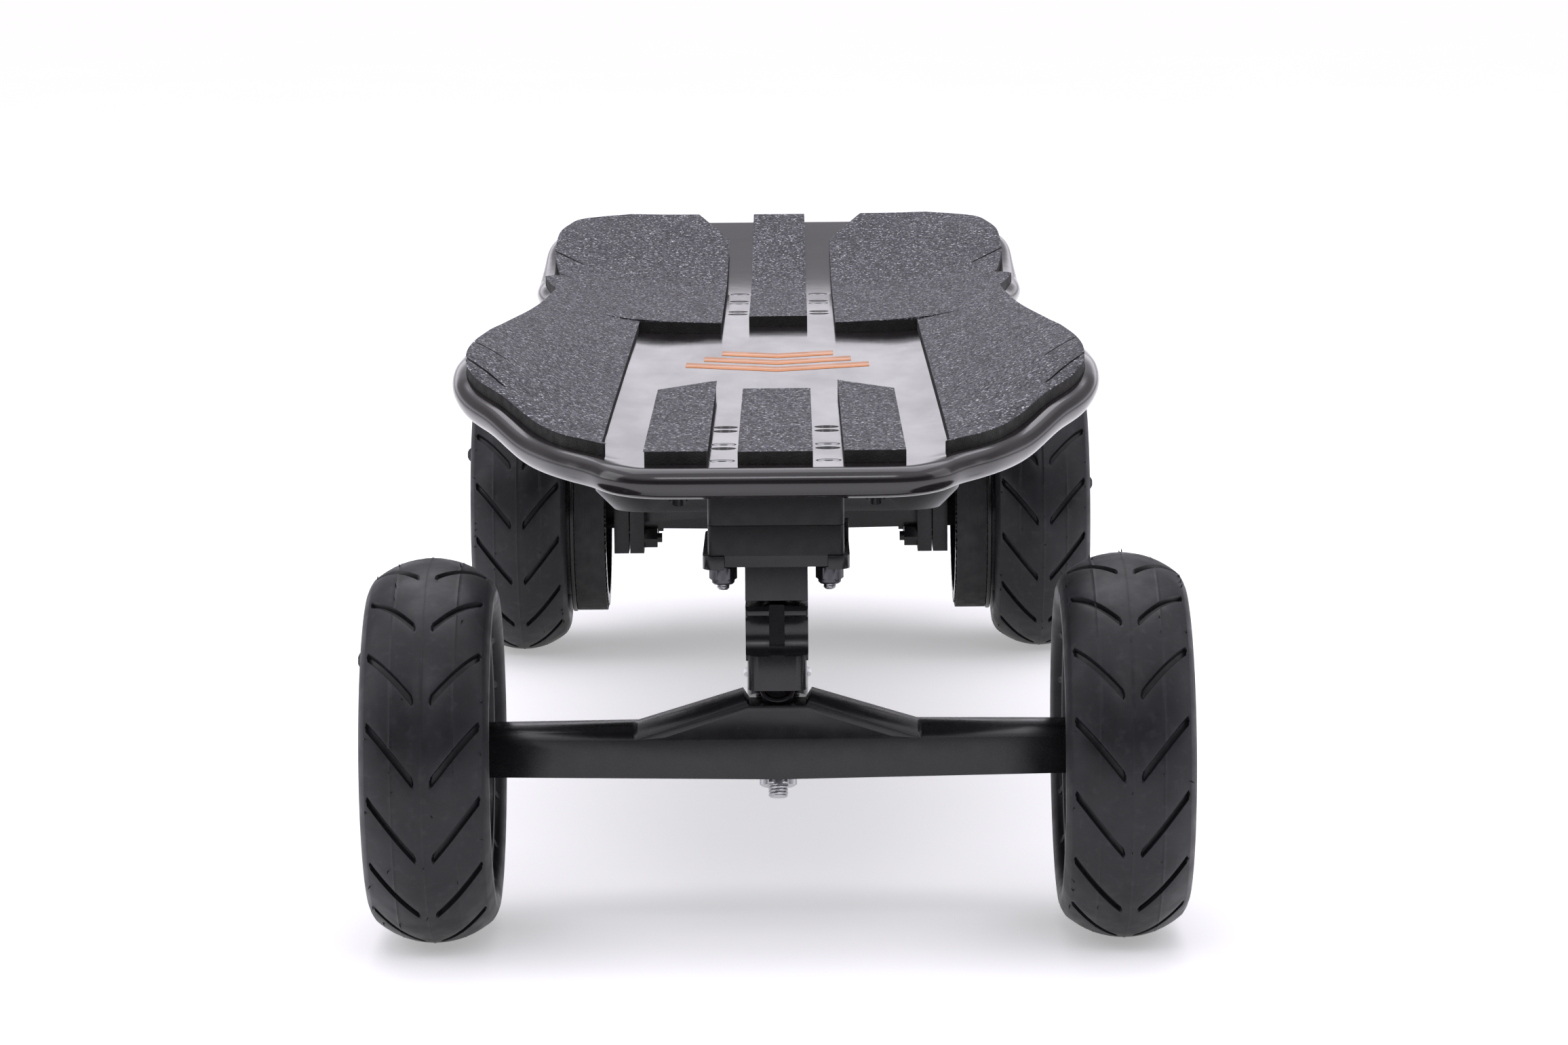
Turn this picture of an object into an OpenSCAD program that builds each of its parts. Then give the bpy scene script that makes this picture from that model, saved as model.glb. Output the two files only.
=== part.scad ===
// All-terrain electric longboard: moulded deck, two double-kingpin trucks,
// four air-filled tyres and two belt drives on the rear axle.
// X runs across the board, Y from the nose (-) to the tail (+), Z up from the ground.
// Left and right are the rider's, facing the nose: left is +X.

/* [Layout] */
// Distance between the two axles
wheelbase = 741; // [720:1:760]
// From the front axle to the tip of the tail
tail_reach = 957; // [950:1:965]
// Height of the deck's top face on the centre line
deck_z = 188; // [186:1:192]

/* [Wheels] */
// Outside diameter of a tyre
tyre_d = 150; // [148:1:152]
// Width of a tyre
tyre_w = 49.5; // [46:0.5:50]
// Radius of the tyre's rounded crown
crown_r = 28.3; // [27:0.1:32]
// Radius of the rim where the tyre seats
rim_r = 54.8; // [54:0.1:56]
// Centre of a front wheel from the centre line
front_track = 134; // [134:0.5:138]
// Centre of a rear wheel from the centre line
rear_track = 137; // [137:0.5:140]
// Diameter of the stub axles
axle_d = 10; // [9:0.5:10]

/* [Deck] */
// Thickness of the deck at its centre
deck_t = 12; // [10:0.5:12]
// Half width of the deck's flat standing area
flat_half_w = 52; // [50:1:54]
// Diameter of a countersunk bolt head
bolt_head_d = 9.4; // [8:0.1:10]
// Spacing of the truck bolts across the board
bolt_cols = 41.3; // [41:0.1:42]
// Spacing of the truck bolts along the board
bolt_rows = 55; // [53:0.5:56]

/* [Grip pads] */
// Thickness of the foam grip pads
pad_t = 4.3; // [3:0.1:5]
// Width of the centre pads
centre_pad_w = 29; // [24:1:30]

/* [Battery enclosure] */
// Length of the enclosure
box_len = 471; // [460:1:471]
// Width of the enclosure against the deck
box_top_w = 165; // [160:1:166]
// Depth of the enclosure below the deck
box_depth = 27; // [26:0.5:28]
// Wall thickness of the enclosure
box_wall = 2.5; // [2:0.1:3]

/* [Trucks] */
// Thickness of one riser pad
riser_t = 11.8; // [11:0.1:11.8]
// Width of the riser pads
riser_w = 52.7; // [50:0.1:56]
// Width of the baseplate
plate_w = 57; // [56:0.5:60]
// Thickness of the baseplate
plate_t = 5.4; // [5:0.1:6]
// Width of the swivel and the pivot tower
tower_w = 24.3; // [23:0.1:25]
// Diameter of the kingpins
kingpin_d = 8; // [7:0.5:8]

/* [Drive] */
// Radius of the belt's back on the wheel pulley
belt_r = 54.5; // [54:0.1:55]
// Width of the toothed belt
belt_w = 15.5; // [14:0.5:15.5]
// Outside diameter of a motor
motor_d = 63; // [60:1:63]

/* [Hidden] */
$fn = 48;

axle_z = tyre_d / 2;
front_axle_y = axle_z - (tail_reach + axle_z) / 2;
rear_axle_y = front_axle_y + wheelbase;
slip = 0.05;        // radial clearance of a seated or running fit
gap = 0.3;          // clearance between faces that move past each other

// ---- deck shape; u is the distance behind the front axle ----
nose_u = -31;
nose_roll = 9;      // length over which the nose edge rounds off
rim_roll = 6;       // radius of the deck's rounded rim
under_flat = 84;    // half width of the flat underside that carries the enclosure
last_u = tail_reach;
// half width of the deck
deck_plan = [
    [-31, 42], [-29, 52], [-25, 60], [-18, 67.5], [-6, 75], [8, 86.5], [33, 100],
    [66, 115.5], [88, 126], [109, 131.8], [153, 133.7], [262, 131.7], [317, 128],
    [500, 122], [640, 119.3], [668, 120], [690, 124.6], [710, 126.8], [760, 127.6],
    [820, 127.8], [865, 127.2], [900, 123], [925, 117.5], [940, 109.5], [950, 98],
    [955, 84], [957, 66]
];
// rise of the rim above the centre line
rim_rise = [
    [-31, 0], [-15, 1], [3, 3], [37, 6], [69, 14], [91, 18], [109, 22], [153, 25],
    [262, 22], [317, 20], [500, 12], [666, 8], [702, 9.5], [811, 8.5], [865, 8],
    [925, 3], [957, 0]
];
// rise of the kicked tail on the centre line
tail_rise = [[-31, 0], [720, 0], [745, 0], [800, 4], [873, 13], [930, 20.8], [957, 24.3]];
// outer edge of a side pad
pad_plan = [
    [3, 67], [15, 81], [37, 93], [69, 109], [91, 120], [109, 125.6], [153, 127.4],
    [262, 125.4], [317, 122], [500, 115.7], [640, 113], [668, 114], [702, 121.4],
    [760, 121.6], [820, 121.6], [865, 120.8], [900, 116.8], [925, 111.2],
    [940, 98], [950, 84]
];
deck_stations = [
    -31, -30.2, -28.5, -26, -22, -15, -6, 3, 15, 37, 52, 69, 80, 91, 100, 109, 130,
    153, 200, 262, 317, 400, 500, 600, 640, 668, 680, 690, 702, 714, 730, 745, 765,
    790, 820, 845, 865, 885, 900, 913, 925, 934, 941, 947, 951.5, 954.5, 956.4, 957
];
pad_stations = [
    3, 8, 15, 26, 37, 52, 69, 80, 91, 100, 109, 130, 153, 200, 262, 317, 400, 526,
    526.01, 600, 640, 668, 680, 690, 702, 714, 745, 765, 790, 811, 820, 845, 865,
    880, 900, 913, 925, 934, 941, 947, 950
];
pad_bed = 0.7;      // the pads' glue line above the deck
pad_step_u = 526;   // the side pads widen inwards behind this station
pad_inner_front = 68;
pad_inner_rear = 28;
pad_inner_tail = 46;
pad_chamfer_u = 880;
notch_u = [702, 714, 811];
notch_depth = 7.5;

function slope(t, i) =
    let (a = max(i - 1, 0), b = min(i + 1, len(t) - 1))
    (t[b][1] - t[a][1]) / (t[b][0] - t[a][0]);
function seg(t, u, i = 0) =
    (i >= len(t) - 2 || u < t[i + 1][0]) ? i : seg(t, u, i + 1);
// smooth curve through the points of a table
function curve(t, u) =
    let (i = seg(t, u), h = t[i + 1][0] - t[i][0],
         s = min(max((u - t[i][0]) / h, 0), 1))
    t[i][1] * (1 + 2 * s) * (1 - s) * (1 - s) + slope(t, i) * h * s * (1 - s) * (1 - s)
    + t[i + 1][1] * s * s * (3 - 2 * s) - slope(t, i + 1) * h * s * s * (1 - s);
// share of the rim's rise at a fraction t of the way from the flat to the rim
function dish(t) = t <= 0 ? 0 : (1 - cos(144 * min(t, 1))) / (1 - cos(144));
function half_w(u) = curve(deck_plan, u);
function kick(u) = max(curve(tail_rise, u), 0);
function top_z(x, u) =
    let (w = half_w(u) - rim_roll)
    deck_z + kick(u)
    + curve(rim_rise, u) * dish((abs(x) - flat_half_w) / max(w - flat_half_w, 8));
function under_z(x, u) =
    let (w = half_w(u) - rim_roll, x0 = min(under_flat, 0.8 * w))
    deck_z - deck_t + kick(u)
    + curve(rim_rise, u) * dish((abs(x) - x0) / (w - x0));
function end_round(u) =
    let (d = max(min(u - nose_u, last_u - u), 0.25))
    d >= nose_roll ? 1 : sqrt(1 - pow(1 - d / nose_roll, 2));

// one side of a deck station, from the centre line over the rim and back underneath
side_fractions = [0, 0.42, 0.56, 0.68, 0.8, 0.9, 1];
rim_angles = [40, 90, 140];
function squeeze(z, x, u) =
    let (mid = (top_z(x, u) + under_z(x, u)) / 2) mid + (z - mid) * end_round(u);
function half_loop(u) =
    let (w = half_w(u) - rim_roll)
    concat(
        [for (f = side_fractions) [f * w, squeeze(top_z(f * w, u), f * w, u)]],
        [for (a = rim_angles)
            let (mid = (top_z(w, u) + under_z(w, u)) / 2,
                 r = (top_z(w, u) - under_z(w, u)) / 2)
            [w + rim_roll * sin(a), mid + r * cos(a) * end_round(u)]],
        [for (k = [len(side_fractions) - 1:-1:0])
            let (x = side_fractions[k] * w) [x, squeeze(under_z(x, u), x, u)]]);
function full_loop(u) =
    let (h = half_loop(u), n = len(h))
    concat([for (p = h) [p[0], u, p[1]]],
           [for (k = [n - 2:-1:1]) [-h[k][0], u, h[k][1]]]);

loop_half = 2 * len(side_fractions) + len(rim_angles) - 1;
loop_len = 2 * loop_half;
function ring(i) = (i + loop_len) % loop_len;
rim_tip = (loop_half - 2) / 2;
deck_cap = concat(
    [[ring(-rim_tip - 1), ring(-rim_tip), ring(loop_half + rim_tip)]],
    [for (i = [-rim_tip:rim_tip - 1])
        [ring(i), ring(i + 1), ring(loop_half - i - 1), ring(loop_half - i)]],
    [[rim_tip, rim_tip + 1, rim_tip + 2]]);

// closed skin through a row of loops of equal length; cap holds an end's faces
module loft(loops, cap) {
    n = len(loops[0]);
    m = len(loops);
    pts = [for (l = loops) each l];
    sides = [for (i = [0:m - 2]) for (j = [0:n - 1])
        let (a = i * n + j, b = i * n + (j + 1) % n) each
        [[a, a + n, b], [b, a + n, b + n]]];
    far_cap = [for (f = cap) [for (k = [len(f) - 1:-1:0]) (m - 1) * n + f[k]]];
    polyhedron(points = pts, faces = concat(sides, cap, far_cap), convexity = 6);
}

// a pad lying on the deck between two edges
module pad_strip(stations, inner, outer, cuts) {
    loft([for (u = stations)
        let (a = inner(u), b = outer(u), step = (b - a) / cuts)
        concat(
            [for (k = [0:cuts]) let (x = a + k * step) [x, u, top_z(x, u) + pad_bed + pad_t]],
            [for (k = [cuts:-1:0]) let (x = a + k * step) [x, u, top_z(x, u) + pad_bed]])],
        [for (i = [0:cuts - 1]) [i, i + 1, 2 * cuts - i, 2 * cuts + 1 - i]]);
}

module rounded_rect(w, l, r) {
    union() {
        square([w - 2 * r, l], center = true);
        square([w, l - 2 * r], center = true);
        for (x = [-1, 1], y = [-1, 1])
            translate([x * (w / 2 - r), y * (l / 2 - r)]) circle(r);
    }
}

module from_front_axle() { translate([0, front_axle_y, 0]) children(); }
// a truck's own frame: y points from the axle to the middle of the board
module front_truck() { translate([0, front_axle_y, 0]) children(); }
module rear_truck() { translate([0, rear_axle_y, 0]) rotate([0, 0, 180]) children(); }
// a tilted axis in a truck's y-z plane; a positive tilt leans its top to the board's end
module tilted(at, tilt) { translate([0, at[0], at[1]]) rotate([tilt, 0, 0]) children(); }
module mirrored_x() {
    children();
    mirror([1, 0, 0]) children();
}

// ---- trucks: y from the axle, z above the ground ----
riser_z = deck_z - deck_t;
plate_top = riser_z - 2 * riser_t;
plate_z = plate_top - plate_t;
plate_y = [-16, 64];
first_row = -3;
bolt_d = 5;
spare_rows = [41.3, 102, 116];
upper_ring = [42, 116];
upper_nose = [5, 141];
upper_tilt = atan2(upper_ring[0] - upper_nose[0], upper_nose[1] - upper_ring[1]);
upper_pin_tilt = 15;
lower_ring = [15, 79];
lower_nose = [-2, 100];
lower_tilt = atan2(lower_ring[0] - lower_nose[0], lower_nose[1] - lower_ring[1]);
lower_pin_tilt = -20;
nose_r = 5.5;
stem_r = 5;
ring_t = 8;
ring_r = 12;
ring_bore = kingpin_d / 2 + 1.6;
upper_bush = [9.4, 8];      // heights above and below the swivel's ring
lower_bush = [9.3, 10];
bush_r = 9;
washer_t = 1.5;
kingpin_nut = 6.5;
kingpin_tail = 4.5;         // thread below the nut
seat_t = 9;
tower_front = -9;
tower_back = 20;
tower_low = 134;
block_low = 99.5;
block_top = 115;
swivel_top = 132;
arm_end = 20;               // the hanger's arm stops this far inboard of the wheel centre
beam_y = [-10, 11];
beam_low = 64;
beam_top = 84.6;
face_top = 80.2;            // top of the beam's upright front face

// ---- deck and what is on it ----
bolt_row_list = concat([0, bolt_rows], spare_rows);
module bolt_grid(rows) {
    for (r = rows, x = [-1, 1]) translate([x * bolt_cols / 2, first_row + r, 0]) children();
}
module countersink(d, head_d) {
    union() {
        translate([0, 0, plate_z - 20]) cylinder(d = d, h = 60);
        translate([0, 0, deck_z - 2.4]) cylinder(d1 = d, d2 = head_d, h = 2.4);
        translate([0, 0, deck_z]) cylinder(d = head_d, h = 2);
    }
}

module deck() {
    color("#2b292c") difference() {
        from_front_axle() loft([for (u = deck_stations) full_loop(u)], deck_cap);
        front_truck() bolt_grid(bolt_row_list) countersink(5.6, bolt_head_d + 0.4);
        rear_truck() bolt_grid(bolt_row_list) countersink(5.6, bolt_head_d + 0.4);
    }
}

function notch(u) =
    u <= notch_u[0] || u >= notch_u[2] ? 0
    : u < notch_u[1] ? notch_depth * (u - notch_u[0]) / (notch_u[1] - notch_u[0])
    : notch_depth * (notch_u[2] - u) / (notch_u[2] - notch_u[1]);
module side_pad() {
    from_front_axle() pad_strip(
        pad_stations,
        function(u) u <= pad_step_u ? (u < 10 ? 66 : pad_inner_front)
            : u <= pad_chamfer_u ? pad_inner_rear
            : pad_inner_rear
                + (pad_inner_tail - pad_inner_rear) * (u - pad_chamfer_u) / (950 - pad_chamfer_u),
        function(u) curve(pad_plan, u) - notch(u), 7);
}
module side_pad_left() { color("#3a3a3e") side_pad(); }
module side_pad_right() { color("#3a3a3e") mirror([1, 0, 0]) side_pad(); }

module centre_pads() {
    color("#3a3a3e") from_front_axle() {
        translate([-centre_pad_w / 2, -15, deck_z + pad_bed]) cube([centre_pad_w, 233, pad_t]);
        mirrored_x() translate([0, 0, deck_z + pad_bed])
            linear_extrude(pad_t) polygon([[26.5, -12.6], [50.5, -12.6], [50.5, 216], [26.5, 251]]);
        pad_strip([561, 640, 720, 745, 770, 800, 835, 873, 900, 930, 949],
                  function(u) -centre_pad_w / 2, function(u) centre_pad_w / 2, 2);
    }
}

module chevron(w, rise, band) {
    polygon([[-w / 2, rise], [0, 0], [w / 2, rise], [w / 2, rise + band], [0, band],
             [-w / 2, rise + band]]);
}
module deck_emblem() {
    color("#d8824a") from_front_axle() translate([0, 338, deck_z + 0.05])
        linear_extrude(0.35) for (k = [0:2])
            translate([0, 31 * k]) chevron(84 - 16 * k, 22 - 4 * k, 20);
}

// ---- battery enclosure ----
box_y = 135 + box_len / 2;
box_floor = riser_z - box_depth;
module tub(grow, low, high) {
    hull() {
        translate([0, 0, high - 0.1]) linear_extrude(0.1)
            rounded_rect(box_top_w + grow, box_len + grow, 22, $fn = 32);
        translate([0, 0, box_floor + 8]) linear_extrude(0.1)
            rounded_rect(box_top_w - 13 + grow, box_len - 8 + grow, 20, $fn = 32);
        translate([0, 0, low]) linear_extrude(0.1)
            rounded_rect(box_top_w - 28 + grow, box_len - 22 + grow, 16, $fn = 32);
    }
}
seal_t = 0.8;
socket_r = 5.5;
port_y = box_y + 160;
button_y = box_y + 120;
side_z = box_floor + 15;
side_x = box_top_w / 2 - 3;
screw_y = [for (k = [-2:2]) k * 105];
module screw_spots() {
    translate([0, box_y, 0]) for (y = screw_y) mirrored_x()
        translate([box_top_w / 2 - 9, y, 0]) children();
}
// two screws in upright scallops in the enclosure's front face
module front_screw_spots() {
    mirrored_x() translate([41, box_y - box_len / 2 + 4.6, 0]) children();
}
module enclosure() {
    color("#2a282b") from_front_axle() difference() {
        union() {
            difference() {
                translate([0, box_y, 0]) tub(0, box_floor, riser_z - seal_t);
                translate([0, box_y, 0]) tub(-2 * box_wall, box_floor + box_wall, riser_z + 1);
            }
            intersection() {
                translate([0, box_y, 0]) tub(-1, box_floor + 0.5, riser_z - seal_t);
                union() {
                    screw_spots() translate([0, 0, box_floor])
                        cylinder(r = 5, h = box_depth - seal_t);
                    front_screw_spots() translate([0, 0, box_floor])
                        cylinder(r = 6.4, h = box_depth - seal_t);
                }
            }
        }
        screw_spots() {
            translate([0, 0, box_floor - 1]) cylinder(r = 1.7, h = box_depth + 2);
            translate([0, 0, box_floor - 1]) cylinder(r = 3.4, h = 16);
        }
        front_screw_spots() {
            translate([0, 0, box_floor - 1]) cylinder(r = 1.7, h = box_depth + 2);
            translate([0, 0, box_floor - 1]) cylinder(r = 4.15, h = 17);
        }
        translate([side_x - 12, port_y, side_z]) rotate([0, 90, 0]) cylinder(r = 8, h = 30);
        translate([side_x - 12, button_y, side_z]) rotate([0, 90, 0]) cylinder(r = 6.3, h = 30);
    }
}
module enclosure_seal() {
    color("#141414") from_front_axle() translate([0, box_y, riser_z - seal_t + 0.02])
        difference() {
            linear_extrude(seal_t - 0.06) rounded_rect(box_top_w, box_len, 22);
            translate([0, 0, -1]) linear_extrude(seal_t + 1)
                rounded_rect(box_top_w - 26, box_len - 14, 16);
            translate([0, -box_y, -1]) {
                screw_spots() cylinder(r = 1.8, h = 3);
                front_screw_spots() cylinder(r = 1.8, h = 3);
            }
        }
}
module enclosure_screws() {
    color("#8c8c90") from_front_axle() {
        screw_spots() {
            translate([0, 0, box_floor + 12.2]) cylinder(r = 3, h = 2.7);
            translate([0, 0, box_floor + 14.9]) cylinder(r = 1.6, h = box_depth - 15);
        }
        front_screw_spots() {
            translate([0, 0, box_floor + 13.2]) cylinder(r = 3.6, h = 2.7);
            translate([0, 0, box_floor + 15.9]) cylinder(r = 1.6, h = box_depth - 16);
        }
    }
}
cell_d = 21.2;
module battery_pack() {
    color("#2f5aa8") from_front_axle() translate([0, box_y - 66, box_floor + box_wall + 0.4]) {
        difference() {
            union() {
                for (k = [-2.5:2.5]) translate([k * cell_d, -150, cell_d / 2])
                    rotate([-90, 0, 0]) cylinder(d = cell_d, h = 300);
                translate([-2.5 * cell_d, -150, 1]) cube([5 * cell_d, 300, cell_d - 2]);
            }
            for (y = [-79:79:79]) translate([-80, y - 0.6, -1]) cube([160, 1.2, 3]);
        }
    }
}
module motor_controller() {
    color("#3c3f45") from_front_axle() translate([0, box_y + 152, box_floor + box_wall + 0.4])
        difference() {
            translate([-48, -56, 0]) cube([96, 112, 19]);
            for (k = [-5:5]) translate([k * 8 - 1.5, -60, 12]) cube([3, 120, 10]);
        }
}
module charge_port() {
    color("#1c1c1e") from_front_axle() translate([side_x, port_y, side_z]) rotate([0, 90, 0])
        difference() {
            union() {
                translate([0, 0, -12]) cylinder(r = 7.9, h = 13);
                translate([0, 0, 0.5]) cylinder(r = 7.9, h = 2.8);
                translate([0, 0, 3.1]) cylinder(r = 10.5, h = 1.9);
            }
            translate([0, 0, -8.5]) cylinder(r = socket_r, h = 20);
        }
}
module power_button() {
    color("#55565a") from_front_axle() translate([side_x, button_y, side_z]) rotate([0, 90, 0]) {
        translate([0, 0, -8]) cylinder(r = 6, h = 11);
        translate([0, 0, -9]) cylinder(r = 7.4, h = 1.5);
    }
}

// ---- truck pieces, in a truck's own frame ----
module truck_risers() {
    for (k = [1, 2]) difference() {
        translate([0, (plate_y[0] + plate_y[1]) / 2, riser_z - k * riser_t + 0.03])
            linear_extrude(riser_t - 0.06) rounded_rect(riser_w, 78, 3);
        bolt_grid([0, bolt_rows]) translate([0, 0, plate_z]) cylinder(d = bolt_d + 0.6, h = 60);
    }
}
module upper_pin_axis() { tilted(upper_ring, upper_pin_tilt) children(); }
module lower_pin_axis() { tilted(lower_ring, lower_pin_tilt) children(); }
module truck_baseplate() {
    difference() {
        union() {
            translate([0, (plate_y[0] + plate_y[1]) / 2, plate_z])
                linear_extrude(plate_t) rounded_rect(plate_w, plate_y[1] - plate_y[0], 6);
            translate([-tower_w / 2, tower_front, tower_low])
                cube([tower_w, tower_back - tower_front, plate_z - tower_low + 1]);
            intersection() {
                upper_pin_axis() translate([0, 0, ring_t / 2 + upper_bush[0] + washer_t])
                    cylinder(r = 11, h = 30);
                translate([-20, 10, 100]) cube([40, 54, plate_z + 0.5 - 100]);
            }
            translate([riser_w / 2 + 0.2, 30, plate_top - 1])
                cube([(plate_w - riser_w) / 2 - 0.2, 12, 8.2]);
        }
        // the tower's front leans back a little
        translate([-20, tower_front, tower_low]) rotate([-7, 0, 0]) translate([0, -10, -2])
            cube([40, 10, 20]);
        tilted(upper_nose, upper_tilt) translate([0, 0, -30])
            cylinder(r = nose_r + slip, h = 33.5);
        upper_pin_axis() cylinder(d = kingpin_d + 2 * slip, h = 35);
        bolt_grid([0, bolt_rows]) translate([0, 0, plate_z - 1]) cylinder(d = bolt_d + 0.4, h = 10);
    }
}
module truck_mount_bolts() {
    bolt_grid([0, bolt_rows]) {
        translate([0, 0, plate_z - 9.2]) cylinder(d = bolt_d, h = deck_z - 2.2 - plate_z + 9.2);
        difference() {
            translate([0, 0, deck_z - 2.2]) cylinder(d1 = bolt_d, d2 = bolt_head_d, h = 2.2);
            translate([0, 0, deck_z - 1.4]) cylinder(d = 3.4, h = 3, $fn = 6);
        }
        difference() {
            union() {
                translate([0, 0, plate_z - 5.2]) cylinder(r = 5.4, h = 5.17, $fn = 6);
                translate([0, 0, plate_z - 7]) cylinder(r = 4.3, h = 2);
            }
            translate([0, 0, plate_z - 8]) cylinder(d = bolt_d + 2 * slip, h = 9);
        }
    }
}
module kingpin(top, below, nut_r) {
    // top: length above the ring's centre; below: bushing height under the ring
    nut_z = -ring_t / 2 - below - washer_t - slip;
    translate([0, 0, nut_z - kingpin_nut - kingpin_tail])
        cylinder(d = kingpin_d, h = top - nut_z + kingpin_nut + kingpin_tail);
    difference() {
        union() {
            translate([0, 0, nut_z]) cylinder(r = bush_r, h = washer_t);
            translate([0, 0, nut_z - kingpin_nut]) cylinder(r = nut_r, h = kingpin_nut, $fn = 6);
        }
        translate([0, 0, nut_z - 10]) cylinder(d = kingpin_d + 2 * slip, h = 20);
    }
}
module truck_upper_kingpin() {
    upper_pin_axis() {
        kingpin(33, upper_bush[1], 7.2);
        translate([0, 0, ring_t / 2 + upper_bush[0] + slip]) difference() {
            cylinder(r = bush_r + 1, h = washer_t - 2 * slip);
            translate([0, 0, -1]) cylinder(d = kingpin_d + 2 * slip, h = 4);
        }
    }
}
module bushing_pair(heights) {
    difference() {
        union() {
            translate([0, 0, ring_t / 2 + slip]) cylinder(r = bush_r, h = heights[0] - 2 * slip);
            translate([0, 0, -ring_t / 2 - heights[1] + slip])
                cylinder(r1 = bush_r - 2, r2 = bush_r, h = heights[1] - 2 * slip);
        }
        translate([0, 0, -30]) cylinder(d = kingpin_d + 0.4, h = 60);
    }
}
module truck_upper_bushings() { upper_pin_axis() bushing_pair(upper_bush); }
module truck_lower_bushings() {
    lower_pin_axis() bushing_pair(lower_bush);
    // pivot cup around the hanger's nose
    tilted(lower_nose, lower_tilt) translate([0, 0, -6.8]) difference() {
        cylinder(r1 = stem_r + 1, r2 = stem_r + 1.9, h = 4.6);
        translate([0, 0, -1]) cylinder(r = stem_r + gap, h = 10);
    }
}
module truck_swivel() {
    difference() {
        union() {
            translate([0, 2, block_low]) linear_extrude(block_top - block_low)
                rounded_rect(tower_w - 1.2, 32, 5);
            translate([0, 3, block_top - 4]) linear_extrude(swivel_top - block_top + 4)
                rounded_rect(tower_w, 30, 1.5);
            translate([-8, 14, upper_ring[1] - 7]) cube([16, 22, 10]);
            upper_pin_axis() translate([0, 0, -ring_t / 2]) cylinder(r = ring_r, h = ring_t);
            tilted(upper_nose, upper_tilt) translate([0, 0, -15.5]) cylinder(r = nose_r, h = 18.5);
            lower_pin_axis() translate([0, 0, ring_t / 2 + lower_bush[0]]) cylinder(r = 12, h = seat_t);
        }
        // hollow front above the lower block, the shoulder's chamfer and the slot
        translate([-20, -14, 121]) rotate([0, 90, 0]) cylinder(r = 8, h = 40);
        translate([-20, -12, swivel_top - 1.6]) rotate([40, 0, 0]) translate([0, -10, 0])
            cube([40, 20, 10]);
        translate([-3, -15, block_top + 1]) cube([6, 9.5, 20]);
        upper_pin_axis() translate([0, 0, -ring_t]) cylinder(r = ring_bore, h = 2 * ring_t);
        upper_pin_axis() translate([0, 0, -ring_t / 2 - 26]) cylinder(r = bush_r + 2, h = 26);
        upper_pin_axis() translate([0, 0, ring_t / 2]) cylinder(r = bush_r + 2, h = 26);
        lower_pin_axis() cylinder(d = kingpin_d + 2 * slip, h = 40);
        lower_pin_axis() translate([0, 0, ring_t / 2 + lower_bush[0] + seat_t])
            cylinder(r = 14, h = 12);
        tilted(lower_nose, lower_tilt) translate([0, 0, -20]) cylinder(r = stem_r + slip, h = 26.5);
        tilted(lower_nose, lower_tilt) translate([0, 0, -22]) cylinder(r = stem_r + 2.3, h = 20.2);
    }
}
module truck_lower_kingpin() {
    lower_pin_axis() {
        kingpin(ring_t / 2 + lower_bush[0] + seat_t + 3, lower_bush[1], 7.2);
        translate([0, 0, ring_t / 2 + lower_bush[0] + seat_t + slip]) difference() {
            union() {
                cylinder(r = 13.4, h = 2.2);
                translate([0, 0, 2.2]) cylinder(r = 7.2, h = 5, $fn = 6);
            }
            translate([0, 0, -1]) cylinder(d = kingpin_d + 2 * slip, h = 5);
        }
    }
}
module truck_hanger(track) {
    arm_x = track - arm_end;
    difference() {
        union() {
            translate([0, beam_y[1], 0]) rotate([90, 0, 0])
                linear_extrude(beam_y[1] - beam_y[0])
                polygon([[-arm_x, 65.7], [0, beam_low], [arm_x, 65.7], [arm_x, beam_top - 0.6],
                         [54.5, beam_top], [13.5, 97], [11, 93], [-11, 93], [-13.5, 97],
                         [-54.5, beam_top], [-arm_x, beam_top - 0.6]]);
            translate([-17, 0, 72]) cube([34, 17, 14]);
            lower_pin_axis() translate([0, 0, -ring_t / 2]) cylinder(r = ring_r, h = ring_t);
        }
        // the arms and rising shoulders have a bevel and then a gentle slope along the front
        mirrored_x() for (cut = [[0, 45], [2.4, 12]]) {
            edge = [54.5, beam_y[0] + cut[0], face_top + cut[0]];
            translate(edge) rotate([cut[1], 0, 0]) translate([0, -6, 0]) cube([90, 24, 8]);
            translate(edge) rotate([0, 18.8, 0]) rotate([cut[1], 0, 0])
                translate([-60, -6, 0]) cube([61.4, 24, 8]);
        }
        // the middle of the front face leans back above a shallow line
        translate([0, beam_y[0], face_top]) rotate([-8, 0, 0]) rotate([90, 0, 0])
            linear_extrude(10) polygon([[-44, 0.6], [-20, 0], [20, 0], [44, 0.6], [12.5, 10.6],
                                        [-12.5, 10.6]]);
        lower_pin_axis() translate([0, 0, -20]) cylinder(r = ring_bore, h = 40);
        lower_pin_axis() translate([0, 0, -ring_t / 2 - 40]) cylinder(r = bush_r + 2.8, h = 40);
        lower_pin_axis() translate([0, 0, ring_t / 2]) cylinder(r = bush_r + 1.2, h = 11);
        tilted(lower_nose, lower_tilt) translate([0, 0, -8.2]) cylinder(r = stem_r + 2.6, h = 20);
        mirrored_x() translate([58, 0, axle_z]) rotate([0, 90, 0])
            cylinder(d = axle_d + 2 * slip, h = 90);
    }
    difference() {
        tilted(lower_ring, lower_tilt) translate([0, 0, 12]) cylinder(r = stem_r, h = 20);
        lower_pin_axis() translate([0, 0, ring_t / 2]) cylinder(r = bush_r + 1.2, h = 11);
    }
}
module truck_axle(track) {
    mirrored_x() translate([0, 0, axle_z]) rotate([0, 90, 0]) {
        translate([0, 0, 60]) cylinder(d = axle_d, h = track + 25 - 60);
        translate([0, 0, track - arm_end + slip]) cylinder(r = 7.2, h = 3.6);
    }
}
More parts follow.
